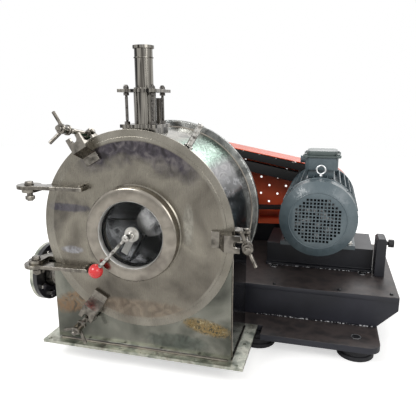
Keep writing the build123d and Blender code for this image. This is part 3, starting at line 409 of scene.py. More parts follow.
def sight_glass_material(name):
    """Tempered glass plate, clear, so that only its gloss shows over the dark drum."""
    made, tree = blank_material(name)
    return finish_shader(made, {"Base Color": linear("#0c100f"), "IOR": 1.5, "Alpha": 0.12},
                         (noise(tree, 60.0, 3.0), 0.02, 0.08))


def make_materials():
    """All finishes of the machine, by the record's material slots and the finer names used below."""
    sizes = bpy.context.scene.machine_sizes
    return {
        # Polished sheets show broad soft tones, with warm, green and dark patches of painted reflection
        # between them.
        "mirror_steel": housing_reflection_bands("Rolled housing sheet"),
        "front_sheet": brushed_sheet("Polished front sheet", (
            (0.30, "#4b4c47"), (0.45, "#74756d"), (0.56, "#8b8b82"), (0.70, "#565851")), 230.0, 0.2, (
            ((268.0, 10.0, 137.0), (92.0, 200.0, 30.0), -10.0, 0.75, 16.0, (
                (0.40, "#4a4738"), (0.50, "#a98a52"), (0.58, "#65583c"), (0.66, "#c4b183"))),
            ((-275.0, 10.0, 180.0), (105.0, 200.0, 42.0), 20.0, 0.6, 38.0, (
                (0.38, "#5a4c40"), (0.50, "#94704f"), (0.60, "#74695b"), (0.70, "#ab9278"))),
            ((150.0, 10.0, 62.0), (130.0, 200.0, 34.0), 0.0, 0.6, 40.0, (
                (0.40, "#39413d"), (0.60, "#56605a"))),
            ((0.0, 10.0, 8.0), (420.0, 200.0, 15.0), 0.0, 0.6, 30.0, (
                (0.40, "#8b8994"), (0.60, "#b9b6bf"))))),
        "back_plate": brushed_sheet("Turned back plate", (
            (0.30, "#7f807f"), (0.46, "#a9aaa6"), (0.58, "#5f6160"), (0.72, "#8d8e8b")), 120.0, 0.25),
        "flange_steel": brushed_sheet("Satin stainless plate", (
            (0.32, "#70756d"), (0.44, "#a2a69a"), (0.54, "#cbccc0"), (0.66, "#9a998d"), (0.76, "#d6d4c9")),
            60.0, 0.28),
        # Round parts carry painted reflections as streaks along them, and the thin rods and the cone stay
        # darker.
        "feed_steel": stainless("Polished stainless tube", (
            (0.36, "#242322"), (0.43, "#6f6c66"), (0.52, "#98948c"), (0.60, "#3e3b38"), (0.68, "#7f7b74")),
            15.0, 0.2, stretch=(1.0, 1.0, 0.03)),
        "rod_steel": stainless("Plain stainless rod", (
            (0.34, "#2f2d2b"), (0.50, "#6f6c68"), (0.66, "#45423f")), 12.0, 0.24),
        "cone_steel": stainless("Dark mirrored cone", (
            (0.38, "#1c1b1a"), (0.48, "#5f5b55"), (0.58, "#2b2927"), (0.68, "#77736b")), 26.0, 0.22,
            stretch=(1.0, 1.0, 0.06)),
        # Fasteners are small and bright with dark flecks of painted reflection, and ground fittings have a
        # softer, warmer grey.
        "fastener_steel": stainless("Bright stainless fasteners", (
            (0.34, "#6a6763"), (0.50, "#d6d4cf"), (0.66, "#98958f")), 16.0, 0.16),
        "clamp_steel": stainless("Ground stainless fittings", (
            (0.32, "#47443f"), (0.46, "#8b867e"), (0.58, "#65615b"), (0.72, "#a7a298")), 55.0, 0.2),
        # The door's brushing blurs its tones into a warm even grey, with patches of painted reflection over
        # it.
        "door_steel": brushed_sheet("Brushed stainless door sheet", (
            (0.30, "#56524c"), (0.44, "#7a756c"), (0.56, "#8f8a7f"), (0.70, "#65615b")), 210.0, 0.26, (
            ((-268.0, -5.0, AXIS + 78.0), (95.0, 90.0, 16.0), 0.0, 0.7, 40.0, (
                (0.38, "#3c3b4a"), (0.60, "#5c5a66"))),
            ((-262.0, -5.0, AXIS - 88.0), (46.0, 90.0, 15.0), 0.0, 0.45, 40.0, (
                (0.40, "#7c7d88"), (0.60, "#c5c8d4"))),
            ((205.0, -5.0, AXIS + 45.0), (20.0, 90.0, 70.0), 0.0, 0.4, 30.0, (
                (0.40, "#8b8a82"), (0.60, "#b5b3aa"))),
            ((0.0, -5.0, AXIS - 300.0), (240.0, 90.0, 38.0), 0.0, 0.45, 60.0, (
                (0.40, "#6f5f52"), (0.60, "#9b8a78")))), rim=True),
        # Turned faces are even, the ring's bore is painted near white as a highlight, and the hub is paler.
        "ring_steel": stainless("Turned stainless ring", (
            (0.32, "#77716a"), (0.48, "#9e988e"), (0.60, "#89837a"), (0.74, "#b4aea4")), 110.0, 0.18),
        "bore_painted_highlight": stainless("Bright turned bore", (
            (0.3, "#c9c7c2"), (0.7, "#f4f3f0")), 40.0, 0.5),
        "hub_steel": stainless("Satin wiper hub", (
            (0.3, "#a9a7a2"), (0.7, "#dedcd7")), 20.0, 0.4),
        "drum_steel": stainless("Satin stainless drum", (
            (0.32, "#4a4b4d"), (0.45, "#a5a6a8"), (0.58, "#e2e3e4"), (0.70, "#6c6d70")), 70.0, 0.2, wave=0.6),
        # Zinc is paler and duller than steel, and a brushed weld bead glints in specks.
        "zinc": stainless("Bright zinc plating", (
            (0.3, "#cfd2d4"), (0.7, "#f4f5f5")), 12.0, 0.3),
        "black_steel": enamel("Blackened steel", "#101012", "#1e1e21", 0.35),
        "weld_specks": stainless("Wire-brushed weld bead", (
            (0.42, "#1c1c20"), (0.52, "#3a3a3e"), (0.60, "#a9a9ab")), 9.0, 0.4),
        "pale_blade": dull("Pale silicone blade", "#9b9a96", "#b7b6b2", 0.5, 3.0),
        "shaft_steel": stainless("Turned steel shaft", (
            (0.3, "#6a6a6a"), (0.7, "#9a9a99")), 25.0, 0.3),
        # Black enamel shines softly, and brown dust lies on its flat tops.
        "base_paint": enamel("Black satin machine enamel", sizes.base_colour, "#25262c", 0.42),
        "base_top": dusty_enamel("Dusty black base enamel", BASE_TOP),
        "sole_top": dusty_enamel("Dusty black sole enamel", SOLE_TOP),
        "foot_rubber": dull("Moulded black rubber", "#16161a", "#242428", 0.6, 3.0),
        # The motor's and the guard's enamels keep some gloss, and their colours stand out most.
        "motor_paint": enamel("Blue-grey motor enamel", sizes.motor_colour, "#606d72", 0.34, coat=0.3),
        "lid_paint": enamel("Grey-green lid enamel", "#46514f", "#5a6563", 0.4, coat=0.2),
        "guard_paint": guard_enamel("Orange guard enamel", sizes.guard_colour),
        "outlet_paint": enamel("Black flange enamel", "#141416", "#232326", 0.3, coat=0.4),
        # Rubber takes the light without gloss, and the hard phenolic ball has the most.
        "belt_rubber": dull("Belt rubber", "#0b0b0b", "#151515", 0.8, 2.0),
        "seal_rubber": dull("Seal rubber", "#1c1c1c", "#2a2a2a", 0.6, 2.0),
        "ball_plastic": enamel("Red phenolic ball", "#cf1f24", "#d92a2c", 0.2, coat=0.6, depth_mm=0.02),
        # Specks of light through the grille are painted on the dark blades.
        "fan_plastic": stainless("Fan with light on its blades", (
            (0.47, "#111213"), (0.56, "#4a4c4e"), (0.64, "#a3a5a7")), 30.0, 0.35),
        "pulley_iron": stainless("Machined cast iron", (
            (0.3, "#3c3c3e"), (0.7, "#58585a")), 20.0, 0.45),
        "glass": sight_glass_material("Tempered sight glass"),
    }


def to_object(bm, name, material, body, smooth_angle=SMOOTH_ANGLE):
    """Makes a finished piece of a bmesh, with smooth round faces and crisp corners."""
    limit = math.radians(smooth_angle)
    for face in bm.faces:
        face.smooth = True
    for edge in bm.edges:
        edge.smooth = len(edge.link_faces) == 2 and edge.calc_face_angle(0.0) < limit
    mesh = bpy.data.meshes.new(name)
    bm.to_mesh(mesh)
    bm.free()
    mesh.materials.append(material)
    piece = bpy.data.objects.new(name, mesh)
    bpy.context.scene.collection.objects.link(piece)
    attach(piece, body)
    return piece


def round_edges(piece, width_mm, segments):
    """Rounds the piece's sharp edges as a deburred or painted part's are."""
    made = piece.modifiers.new("Rounded edges", "BEVEL")
    made.width = width_mm * MM
    made.segments = segments
    made.limit_method = "ANGLE"
    made.angle_limit = math.radians(SMOOTH_ANGLE)
    made.harden_normals = True


def node_slot(node):
    """The record's material slot of a node."""
    return next(s["material_slot"] for s in frame["record"]["subparts"] if s["node"] == node)


def node_body(node):
    """The body that a node belongs to."""
    return frame["nodes"][node]["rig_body"]


def dressed_node(node, round_mm=0.0, segments=2, finish=None):
    """A smooth copy of a node's mesh that stands for it, with its edges rounded."""
    bm = bmesh.new()
    bm.from_mesh(frame["nodes"][node].data)
    bmesh.ops.remove_doubles(bm, verts=bm.verts, dist=0.01 * MM)
    bmesh.ops.dissolve_limit(bm, angle_limit=math.radians(0.5), verts=bm.verts, edges=bm.edges)
    slot = node_slot(node)
    piece = to_object(bm, f"{node}_dressed", materials()[finish or slot], node_body(node))
    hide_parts(node)
    if round_mm:
        round_edges(piece, round_mm, segments)
    return piece


MATERIALS = {}


def materials():
    """The finishes, made once."""
    if not MATERIALS:
        MATERIALS.update(make_materials())
    return MATERIALS


def along(place, direction, side=UP):
    """A matrix that stands its z axis on the direction, with its x axis towards the side."""
    z = Vector(direction).normalized()
    x = Vector(side) - z * z.dot(Vector(side))
    if x.length < 0.001:
        x = z.orthogonal()
    x.normalize()
    made = Matrix((x, z.cross(x), z)).transposed().to_4x4()
    made.translation = place
    return made


def break_edges(bm, edges, width_mm, segments=2):
    """Rounds these edges of a bmesh."""
    bmesh.ops.bevel(bm, geom=edges, offset=width_mm * MM, affect="EDGES", segments=segments,
                    profile=0.5, material=-1)


def turned(bm, profile, place, steps=48, closed=False):
    """Spins a profile of (radius, height) in mm round the place's z axis."""
    known = set(bm.verts)
    verts = [bm.verts.new(place @ Vector((r * MM, 0.0, h * MM))) for r, h in profile]
    pairs = list(zip(verts, verts[1:]))
    if closed:
        pairs.append((verts[-1], verts[0]))
    edges = [bm.edges.new(pair) for pair in pairs]
    axis = (place.to_3x3() @ Vector(UP)).normalized()
    bmesh.ops.spin(bm, geom=verts + edges, cent=place.translation, axis=axis, angle=2 * math.pi,
                   steps=steps, use_merge=True)
    bmesh.ops.remove_doubles(bm, verts=[v for v in bm.verts if v not in known], dist=0.001 * MM)


def bar(bm, start, end, radius):
    """A round bar between two points with its end edges broken."""
    edge = 0.6
    length = (end - start).length / MM
    turned(bm, ((0, 0), (radius - edge, 0), (radius, edge), (radius, length - edge), (radius - edge, length),
                (0, length)), along(start, end - start), 20)


def threaded(bm, start, end, radius, pitch=2.5, steps=16):
    """A bar whose rings stand for its thread, drawn at a coarse pitch so that they show."""
    length = (end - start).length / MM
    root = radius * 0.86
    profile = [(0.0, 0.0)]
    for turn in range(max(1, int(length / pitch))):
        profile += [(root, turn * pitch), (radius, (turn + 0.5) * pitch)]
    profile += [(root, length), (0.0, length)]
    turned(bm, profile, along(start, end - start), steps)


def hexagon(bm, place, radius, height):
    """A nut or a bolt head with its front corners taken off."""
    middle = place @ Matrix.Translation((0.0, 0.0, height * MM / 2))
    made = bmesh.ops.create_cone(bm, cap_ends=True, segments=6, radius1=radius * MM, radius2=radius * MM,
                                 depth=height * MM, matrix=middle)
    axis = place.to_3x3() @ Vector(UP)
    top = {v for v in made["verts"] if (v.co - middle.translation).dot(axis) > 0}
    edges = list({e for v in top for e in v.link_edges if e.other_vert(v) in top})
    break_edges(bm, edges, radius * 0.12)


def washer(bm, place, radius, height=2.0):
    """A flat washer that lies on the place."""
    turned(bm, ((0, 0), (radius, 0), (radius, height - 0.4), (radius - 0.4, height), (0, height)), place, 24)


def bolt(bm, place, radius, height, tip=0.0):
    """A hexagon head or nut on its washer; the tip of the thread stands out of a nut."""
    washer(bm, place, radius * 1.25)
    hexagon(bm, place @ Matrix.Translation((0.0, 0.0, 2.0 * MM)), radius, height)
    if tip:
        start = place @ Vector((0.0, 0.0, (2.0 + height) * MM))
        threaded(bm, start, place @ Vector((0.0, 0.0, (2.0 + height + tip) * MM)), radius * 0.55)


def box_edges(bm, low, high):
    """Adds a box between two corners and gives its edges."""
    made = bmesh.ops.create_cube(bm, size=1.0, matrix=Matrix.Translation((low + high) / 2)
                                 @ Matrix.Diagonal((*(high - low), 1.0)))
    return list({e for v in made["verts"] for e in v.link_edges})


def block(bm, low, high, edge=1.5, segments=2):
    """A box between two corners with rounded edges."""
    break_edges(bm, box_edges(bm, low, high), edge, segments)


def upright_block(bm, low, high, corner, edge):
    """A box whose four upright corners are well rounded and whose top and bottom edges are broken."""
    around = box_edges(bm, low, high)
    known = set(bm.faces) - {f for e in around for f in e.link_faces}
    upright = [e for e in around if abs(e.verts[0].co.z - e.verts[1].co.z) > (high - low).z / 2]
    break_edges(bm, upright, corner, 5)
    caps = [f for f in bm.faces if f not in known and (
        abs(f.normal.z) > 0.9 or any(abs(f.calc_center_median().z - z) < 0.01 * MM for z in (low.z, high.z)))]
    break_edges(bm, list({e for f in caps for e in f.edges}), edge, 3)


def plate(bm, outline, place, thickness, edge=1.0):
    """A flat shape from its corners in mm, raised along the place's z axis, with broken edges."""
    face = bm.faces.new([bm.verts.new(place @ Vector((x * MM, y * MM, 0.0))) for x, y in outline])
    made = bmesh.ops.extrude_face_region(bm, geom=[face])
    raised = [item for item in made["geom"] if isinstance(item, bmesh.types.BMVert)]
    axis = place.to_3x3() @ Vector(UP)
    bmesh.ops.translate(bm, verts=raised, vec=axis * thickness * MM)
    top = set(raised)
    edges = list({e for v in raised for e in v.link_edges if e.other_vert(v) in top})
    break_edges(bm, edges, edge)


def bead(bm, start, end, radius, seed):
    """A hand-laid weld bead with uneven ripples."""
    length = (end - start).length / MM
    dice = random.Random(seed)
    profile = [(0.0, 0.0)]
    pitch = 5.0
    for ripple in range(max(2, int(length / pitch))):
        profile.append((radius * dice.uniform(0.75, 1.05), (ripple + 0.5) * pitch))
    profile.append((0.0, length))
    turned(bm, profile, along(start, end - start), 8)


def finished(bm, name, slot, body="machine", nodes=(), smooth_angle=SMOOTH_ANGLE, finish=None):
    """Closes a new piece: its faces point outwards and it stands for the named nodes."""
    bmesh.ops.recalc_face_normals(bm, faces=bm.faces)
    piece = to_object(bm, name, materials()[finish or slot], body, smooth_angle)
    if nodes:
        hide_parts(*nodes)
    return piece


def node_islands(node):
    """Lowest and highest corners of each separate solid of a node."""
    bm = bmesh.new()
    bm.from_mesh(frame["nodes"][node].data)
    bmesh.ops.remove_doubles(bm, verts=bm.verts, dist=0.01 * MM)
    left = set(bm.verts)
    boxes = []
    while left:
        front = [left.pop()]
        found = []
        while front:
            vert = front.pop()
            found.append(vert.co.copy())
            for edge in vert.link_edges:
                other = edge.other_vert(vert)
                if other in left:
                    left.remove(other)
                    front.append(other)
        low = Vector(map(min, zip(*found)))
        high = Vector(map(max, zip(*found)))
        boxes.append((low, high))
    bm.free()
    return boxes


class MachineSizes(bpy.types.PropertyGroup):
    """Sizes and colours that a user would change"""

    plate_round: bpy.props.FloatProperty(
        name="Plate edge", description="Radius of the broken edges of thick plates",
        default=1.0 * MM, unit="LENGTH", subtype="DISTANCE")
    casting_round: bpy.props.FloatProperty(
        name="Casting edge", description="Radius of the edges of castings and painted boxes",
        default=2.5 * MM, unit="LENGTH", subtype="DISTANCE")
    weld_radius: bpy.props.FloatProperty(
        name="Weld bead", description="Radius of the hand-laid weld beads",
        default=3.5 * MM, unit="LENGTH", subtype="DISTANCE")
    floor_size: bpy.props.FloatProperty(
        name="Floor size", description="Width of the pale floor",
        default=14.0, unit="LENGTH", subtype="DISTANCE")
    motor_colour: bpy.props.FloatVectorProperty(
        name="Motor paint", description="Main colour of the motor's enamel",
        default=linear("#4d5b61")[:3], size=3, min=0.0, max=1.0, subtype="COLOR")
    guard_colour: bpy.props.FloatVectorProperty(
        name="Guard paint", description="Main colour of the belt guard's enamel",
        default=linear("#cf4a22")[:3], size=3, min=0.0, max=1.0, subtype="COLOR")
    base_colour: bpy.props.FloatVectorProperty(
        name="Base paint", description="Main colour of the black machine enamel",
        default=linear("#17181e")[:3], size=3, min=0.0, max=1.0, subtype="COLOR")


class CENTRIFUGE_OT_finishes(bpy.types.Operator):
    """Give every CAD node its finish"""

    bl_idname = "centrifuge.finishes"
    bl_label = "Finishes"

    def execute(self, context):
        for node, piece in frame["nodes"].items():
            piece.data.materials.clear()
            piece.data.materials.append(materials()[node_slot(node)])
        return {"FINISHED"}


class CENTRIFUGE_OT_housing(bpy.types.Operator):
    """Sheets of the drum housing, the bottom flange and their welds"""

    bl_idname = "centrifuge.housing"
    bl_label = "Housing"

    def execute(self, context):
        sizes = context.scene.machine_sizes
        edge = sizes.plate_round / MM
        for node, finish in (("housing_front", "front_sheet"), ("housing_shell", "mirror_steel"),
                             ("housing_back", "back_plate"), ("discharge_flange", "flange_steel")):
            dressed_node(node, edge, finish=finish)
        weld = sizes.weld_radius / MM
        # Beads along the chute's foot and its sides, and rings at the shell's front and back seams.
        bm = bmesh.new()
        bead(bm, spot(-352.0, 10.5, 14.0), spot(352.0, 10.5, 14.0), weld, 3)
        for x, seed in ((CHUTE_SIDE, 4), (-CHUTE_SIDE, 5)):
            bead(bm, spot(x, 16.0, 14.0), spot(x, CHUTE_BACK, 14.0), weld, seed)
        for x, seed in ((CHUTE_SIDE - 0.5, 6), (0.5 - CHUTE_SIDE, 7)):
            bead(bm, spot(x, 26.5, 20.0), spot(x, 26.5, 486.0), weld * 0.7, seed)
        seam = along(spot(0.0, 26.0, AXIS), BACKWARD)
        turned(bm, ((360.0, -1.5), (362.0, 0.5), (360.0, 3.0)), seam, 128, closed=True)
        back = along(spot(0.0, SHELL_BACK, AXIS), BACKWARD)
        turned(bm, ((359.5, -4.0), (363.5, 0.0), (363.5, 1.5), (359.5, 1.5)), back, 128, closed=True)
        finished(bm, "housing_welds", "mirror_steel", finish="ring_steel")
        return {"FINISHED"}


class CENTRIFUGE_OT_door(bpy.types.Operator):
    """Round door with its sight ring, glass and hinge straps"""

    bl_idname = "centrifuge.door"
    bl_label = "Door"

    def execute(self, context):
        sizes = context.scene.machine_sizes
        edge = sizes.plate_round / MM
        dressed_node("door_disc", edge)
        for node in ("sight_glass", "glass_seal"):
            dressed_node(node)
        for node in ("door_arms", "hinge_brackets"):
            dressed_node(node, 1.5 * edge, 3)
        bm = bmesh.new()
        face = along(spot(0.0, 0.0, AXIS), FORWARD)
        turned(bm, (
            (GLASS_RADIUS, 0.0), (RING_RADIUS, 0.0), (RING_RADIUS, 36.0), (174.2, 39.5), (171.5, 42.8),
            (168.0, 44.6), (165.0, RING_STAND), (131.0, RING_STAND), (127.0, 43.6), (124.2, 40.6),
            (RING_BORE, 36.5), (RING_BORE, GLASS_SETBACK), (GLASS_RADIUS, GLASS_SETBACK)), face,
            128, closed=True)
        finished(bm, "turned_sight_ring", "ring_steel", "door", ("sight_ring",), 25.0)
        bm = bmesh.new()
        turned(bm, ((RING_BORE - 0.4, 22.0), (RING_BORE + 1.0, 22.0), (RING_BORE + 1.2, 39.0), (126.2, 43.4),
                    (125.6, 44.4), (RING_BORE - 0.4, 40.0)), face, 128, closed=True)
        finished(bm, "sight_ring_bore", "ring_steel", "door", finish="bore_painted_highlight")
        bm = bmesh.new()
        turned(bm, ((RING_RADIUS, 0.2), (RING_RADIUS + 4.0, 0.2), (RING_RADIUS, 4.0)), face, 128, closed=True)
        finished(bm, "sight_ring_weld", "door_steel", "door")
        return {"FINISHED"}


class CENTRIFUGE_OT_hinges(bpy.types.Operator):
    """Pins of the door's two hinges with their hexagon heads and nuts"""

    bl_idname = "centrifuge.hinges"
    bl_label = "Hinges"

    def execute(self, context):
        flats = (1.0, 0.3, 0.0)
        bm = bmesh.new()
        for low, high in node_islands("hinge_pins"):
            center = (low + high) / 2
            foot = Vector((center.x, center.y, low.z))
            seat = Vector((center.x, center.y, high.z)) - Vector((0.0, 0.0, 18.0 * MM))
            head = along(seat, UP, flats)
            washer(bm, head, 18.0, 3.0)
            hexagon(bm, head @ Matrix.Translation((0.0, 0.0, 3.0 * MM)), 15.5, 9.0)
            bar(bm, foot, seat, 11.0)
            hexagon(bm, along(foot + Vector((0.0, 0.0, 5.0 * MM)), UP, flats), 17.5, 14.0)
        finished(bm, "hinge_bolts", "clamp_steel", "machine", ("hinge_pins",))
        bm = bmesh.new()
        for low, high in node_islands("door_arms"):
            for back in (-13.0, -29.0):
                tip = Vector((high.x - 14.0 * MM, DOOR_FACE + back * MM, high.z))
                bolt(bm, along(tip, UP), 6.5, 5.0)
        finished(bm, "door_arm_screws", "clamp_steel", "door")
        return {"FINISHED"}


class CENTRIFUGE_OT_wiper(bpy.types.Operator):
    """Wiper that is turned by its red ball in front of the glass"""

    bl_idname = "centrifuge.wiper"
    bl_label = "Wiper"

    def execute(self, context):
        front = along(spot(0.0, -GLASS_SETBACK - 0.3, AXIS), FORWARD)
        lever = along(spot(0.0, -WIPER_STAND, AXIS), ray(WIPER_ANGLE))
        bm = bmesh.new()
        hexagon(bm, front @ Matrix.Translation((0.0, 0.0, 9.5 * MM)), 17.0, 11.0)
        turned(bm, ((0, 20), (11, 20), (11, 52), (13, 54), (13, 60), (9, 62.2), (0, 62.2)), front, 32)
        turned(bm, ((0, 0), (8, 0), (8, 10), (6.2, 14), (6.2, 130), (6.8, 132), (6.8, 150), (8.5, 152),
                    (8.5, 157), (0, 157)), lever, 24)
        bar(bm, spot(0.0, -GLASS_SETBACK, AXIS), spot(0.0, 14.0, AXIS) - Vector((0.0, 18.0 * MM, 0.0)), 7.9)
        finished(bm, "wiper_shaft_and_handle", "fastener_steel", "wiper", ("wiper_spindle",))
        bm = bmesh.new()
        turned(bm, ((0, 0), (28, 0), (28, 7), (26.5, 9), (0, 9)), front, 64)
        finished(bm, "wiper_hub", "fastener_steel", "wiper", finish="hub_steel")
        bm = bmesh.new()
        middle = WIPER_REACH + 1.0
        arc = [math.radians(a) for a in range(-74, 90, 8)]
        profile = [(BALL_RADIUS * math.cos(a), middle + BALL_RADIUS * math.sin(a)) for a in arc]
        turned(bm, [(0.0, WIPER_REACH - 25.0), *profile, (0.0, middle + BALL_RADIUS)], lever, 48)
        finished(bm, "red_ball", "ball_plastic", "wiper", ("wiper_ball",), 60.0)
        dressed_node("wiper_blade", 0.8, finish="pale_blade")
        return {"FINISHED"}


class CENTRIFUGE_OT_clamps(bpy.types.Operator):
    """Three swing bolts with their wing nuts, lugs and forked straps"""

    bl_idname = "centrifuge.clamps"
    bl_label = "Clamps"

    def execute(self, context):
        sizes = context.scene.machine_sizes
        for node in ("clamp_lugs", "clamp_forks"):
            dressed_node(node, 1.6 * sizes.plate_round / MM, 3)
        heads = bmesh.new()
        front = Vector(FORWARD)
        tilt = math.radians(15.0)
        for number, (angle, rest, arms, back) in enumerate(CLAMPS, start=1):
            swing = math.radians(rest)
            out = ray(angle)
            tangent = Vector((-out.z, 0.0, out.x))
            pivot = spot(CLAMP_RADIUS * out.x, back, AXIS + CLAMP_RADIUS * out.z)
            line = front * math.cos(swing) + out * math.sin(swing)
            across = out * math.cos(swing) - front * math.sin(swing)
            seat = back + FORK_FRONT + 1.0
            shank = pivot + line * (seat - 20) * MM
            # The bolt's eye turns on its pin, and the nut seats on the fork with its wings tilted forward.
            body = f"clamp_{number}"
            bm = bmesh.new()
            turned(bm, ((7.2, -12), (13, -12), (16.4, -9), (16.4, 9), (13, 12), (7.2, 12)),
                   along(pivot, tangent), 40, closed=True)
            bar(bm, pivot + line * 14 * MM, shank, THREAD_RADIUS)
            threaded(bm, shank, pivot + line * (seat + NUT_LENGTH + 11) * MM, THREAD_RADIUS, 3.0)
            finished(bm, f"swing_bolt_{number}", "clamp_steel", body, (f"clamp_bolt_{number}",))
            bm = bmesh.new()
            turned(bm, ((10.1, 0), (17.5, 0), (18.5, 1), (18.5, 8), (16, 11), (16, 30), (18, 33), (18, 41),
                        (14, NUT_LENGTH), (10.1, NUT_LENGTH)), along(pivot + line * seat * MM, line),
                   40, closed=True)
            root = pivot + line * (seat + NUT_LENGTH / 2) * MM
            for arm in arms:
                spread = math.radians(arm)
                wing = (across * math.cos(spread) + tangent * math.sin(spread)) * math.cos(tilt)
                place = along(root, wing + line * math.sin(tilt))
                turned(bm, ((0, 10.5), (6.3, 10.5), (6.3, 67.3), (5.2, 68.4), (0, 68.4)), place, 24)
            finished(bm, f"wing_nut_with_arms_{number}", "clamp_steel", body, (f"wing_nut_{number}",))
            for side in (-1, 1):
                hexagon(heads, along(pivot + tangent * side * 21.6 * MM, tangent * side), 10.5, 7.0)
        finished(heads, "clamp_pin_heads", "clamp_steel")
        return {"FINISHED"}


class CENTRIFUGE_OT_feed(bpy.types.Operator):
    """Feed tube on its clamped plate with four tie rods"""

    bl_idname = "centrifuge.feed"
    bl_label = "Feed"

    def execute(self, context):
        sizes = context.scene.machine_sizes
        for node in ("feed_base", "feed_tube"):
            dressed_node(node, sizes.plate_round / MM, 3)
        bm = bmesh.new()
        for side in (-1, 1):
            for depth in (-1, 1):
                x = FEED_X + side * TIE_PITCH / 2
                back = FEED_BACK + depth * TIE_PITCH / 2
                threaded(bm, spot(x, back, FEED_BASE_TOP), spot(x, back, FEED_PLATE_TOP + 14.0), 5.2, 3.0)
                bar(bm, spot(x, back, FEED_BASE_TOP + 14.0), spot(x, back, FEED_PLATE_TOP - 26.0), 5.4)
                for height in (FEED_BASE_TOP + 0.2, FEED_PLATE_TOP - 21.5):
                    hexagon(bm, along(spot(x, back, height), UP), 10.0, 10.0)
                # A cap nut ends each rod over the plate.
                top = along(spot(x, back, FEED_PLATE_TOP + 0.2), UP)
                hexagon(bm, top, 10.0, 9.0)
                turned(bm, ((0, 9), (7.8, 9), (7.6, 12), (6, 14.2), (3.2, 15), (0, 15)), top, 24)
        finished(bm, "tie_rods_with_nuts", "fastener_steel", "machine", ("tie_rods",), finish="rod_steel")
        bm = bmesh.new()
        skin = FEED_TUBE_RADIUS
        for height in (1100.0, 1131.0):
            collar = along(spot(FEED_X, FEED_BACK, height), UP)
            turned(bm, ((skin, 0), (35.5, 1), (35.5, 4), (skin, 5)), collar, 64, closed=True)
        weld = along(spot(FEED_X, FEED_BACK, FEED_PLATE_TOP), UP)
        turned(bm, ((skin, 0.1), (37.0, 0.1), (skin, 5.0)), weld, 64, closed=True)
        finished(bm, "feed_tube_beads", "feed_steel")
        return {"FINISHED"}


class CENTRIFUGE_OT_ports(bpy.types.Operator):
    """Vent cone, guide post and the flanged liquid outlet"""

    bl_idname = "centrifuge.ports"
    bl_label = "Vent and outlet"

    def execute(self, context):
        sizes = context.scene.machine_sizes
        edge = sizes.plate_round / MM
        for node in ("outlet_pipe", "outlet_flange", "outlet_cover", "guide_post"):
            dressed_node(node, edge)
        dressed_node("vent_cone", edge, 3, "cone_steel")
        dressed_node("outlet_bolts", 1.0)
        bm = bmesh.new()
        out = ray(POST_ANGLE)
        root = spot(0.0, 40.0, AXIS)
        threaded(bm, root + out * 392.0 * MM, root + out * 459.0 * MM, 11.6, 3.5, 20)
        finished(bm, "guide_post_thread", "fastener_steel")
        return {"FINISHED"}


class CENTRIFUGE_OT_drum(bpy.types.Operator):
    """Drum, scroll, shafts and pulleys behind the door"""

    bl_idname = "centrifuge.drum"
    bl_label = "Drum and shafts"

    def execute(self, context):
        for node in ("drum_basket", "drum_scroll", "drum_shaft", "drum_pulley", "motor_pulley",
                     "motor_shaft", "motor_fan"):
            dressed_node(node, 0.8)
        bm = bmesh.new()
        front = along(spot(0.0, BASKET_FRONT, AXIS), BACKWARD)
        for radius in (262.0, 240.0, 222.0):
            turned(bm, ((radius - 2.5, 0.0), (radius + 2.5, 0.0), (radius + 1.5, 3.9), (radius - 1.5, 3.9)),
                   front, 96, closed=True)
        finished(bm, "drum_front_rings", "drum_steel", "drum")
        return {"FINISHED"}


class CENTRIFUGE_OT_bearing(bpy.types.Operator):
    """Bearing housing on its pedestal behind the drum housing"""

    bl_idname = "centrifuge.bearing"
    bl_label = "Bearing housing"

    def execute(self, context):
        sizes = context.scene.machine_sizes
        for node in ("bearing_housing", "bearing_pedestal"):
            dressed_node(node, sizes.casting_round / MM, 3)
        bm = bmesh.new()
        for number in range(8):
            out = ray(22.5 + 45.0 * number) * BEARING_BOLTS
            bolt(bm, along(spot(out.x, BEARING_FACE, AXIS + out.z), BACKWARD), 10.0, 8.0)
        finished(bm, "bearing_flange_bolts", "base_paint")
        return {"FINISHED"}


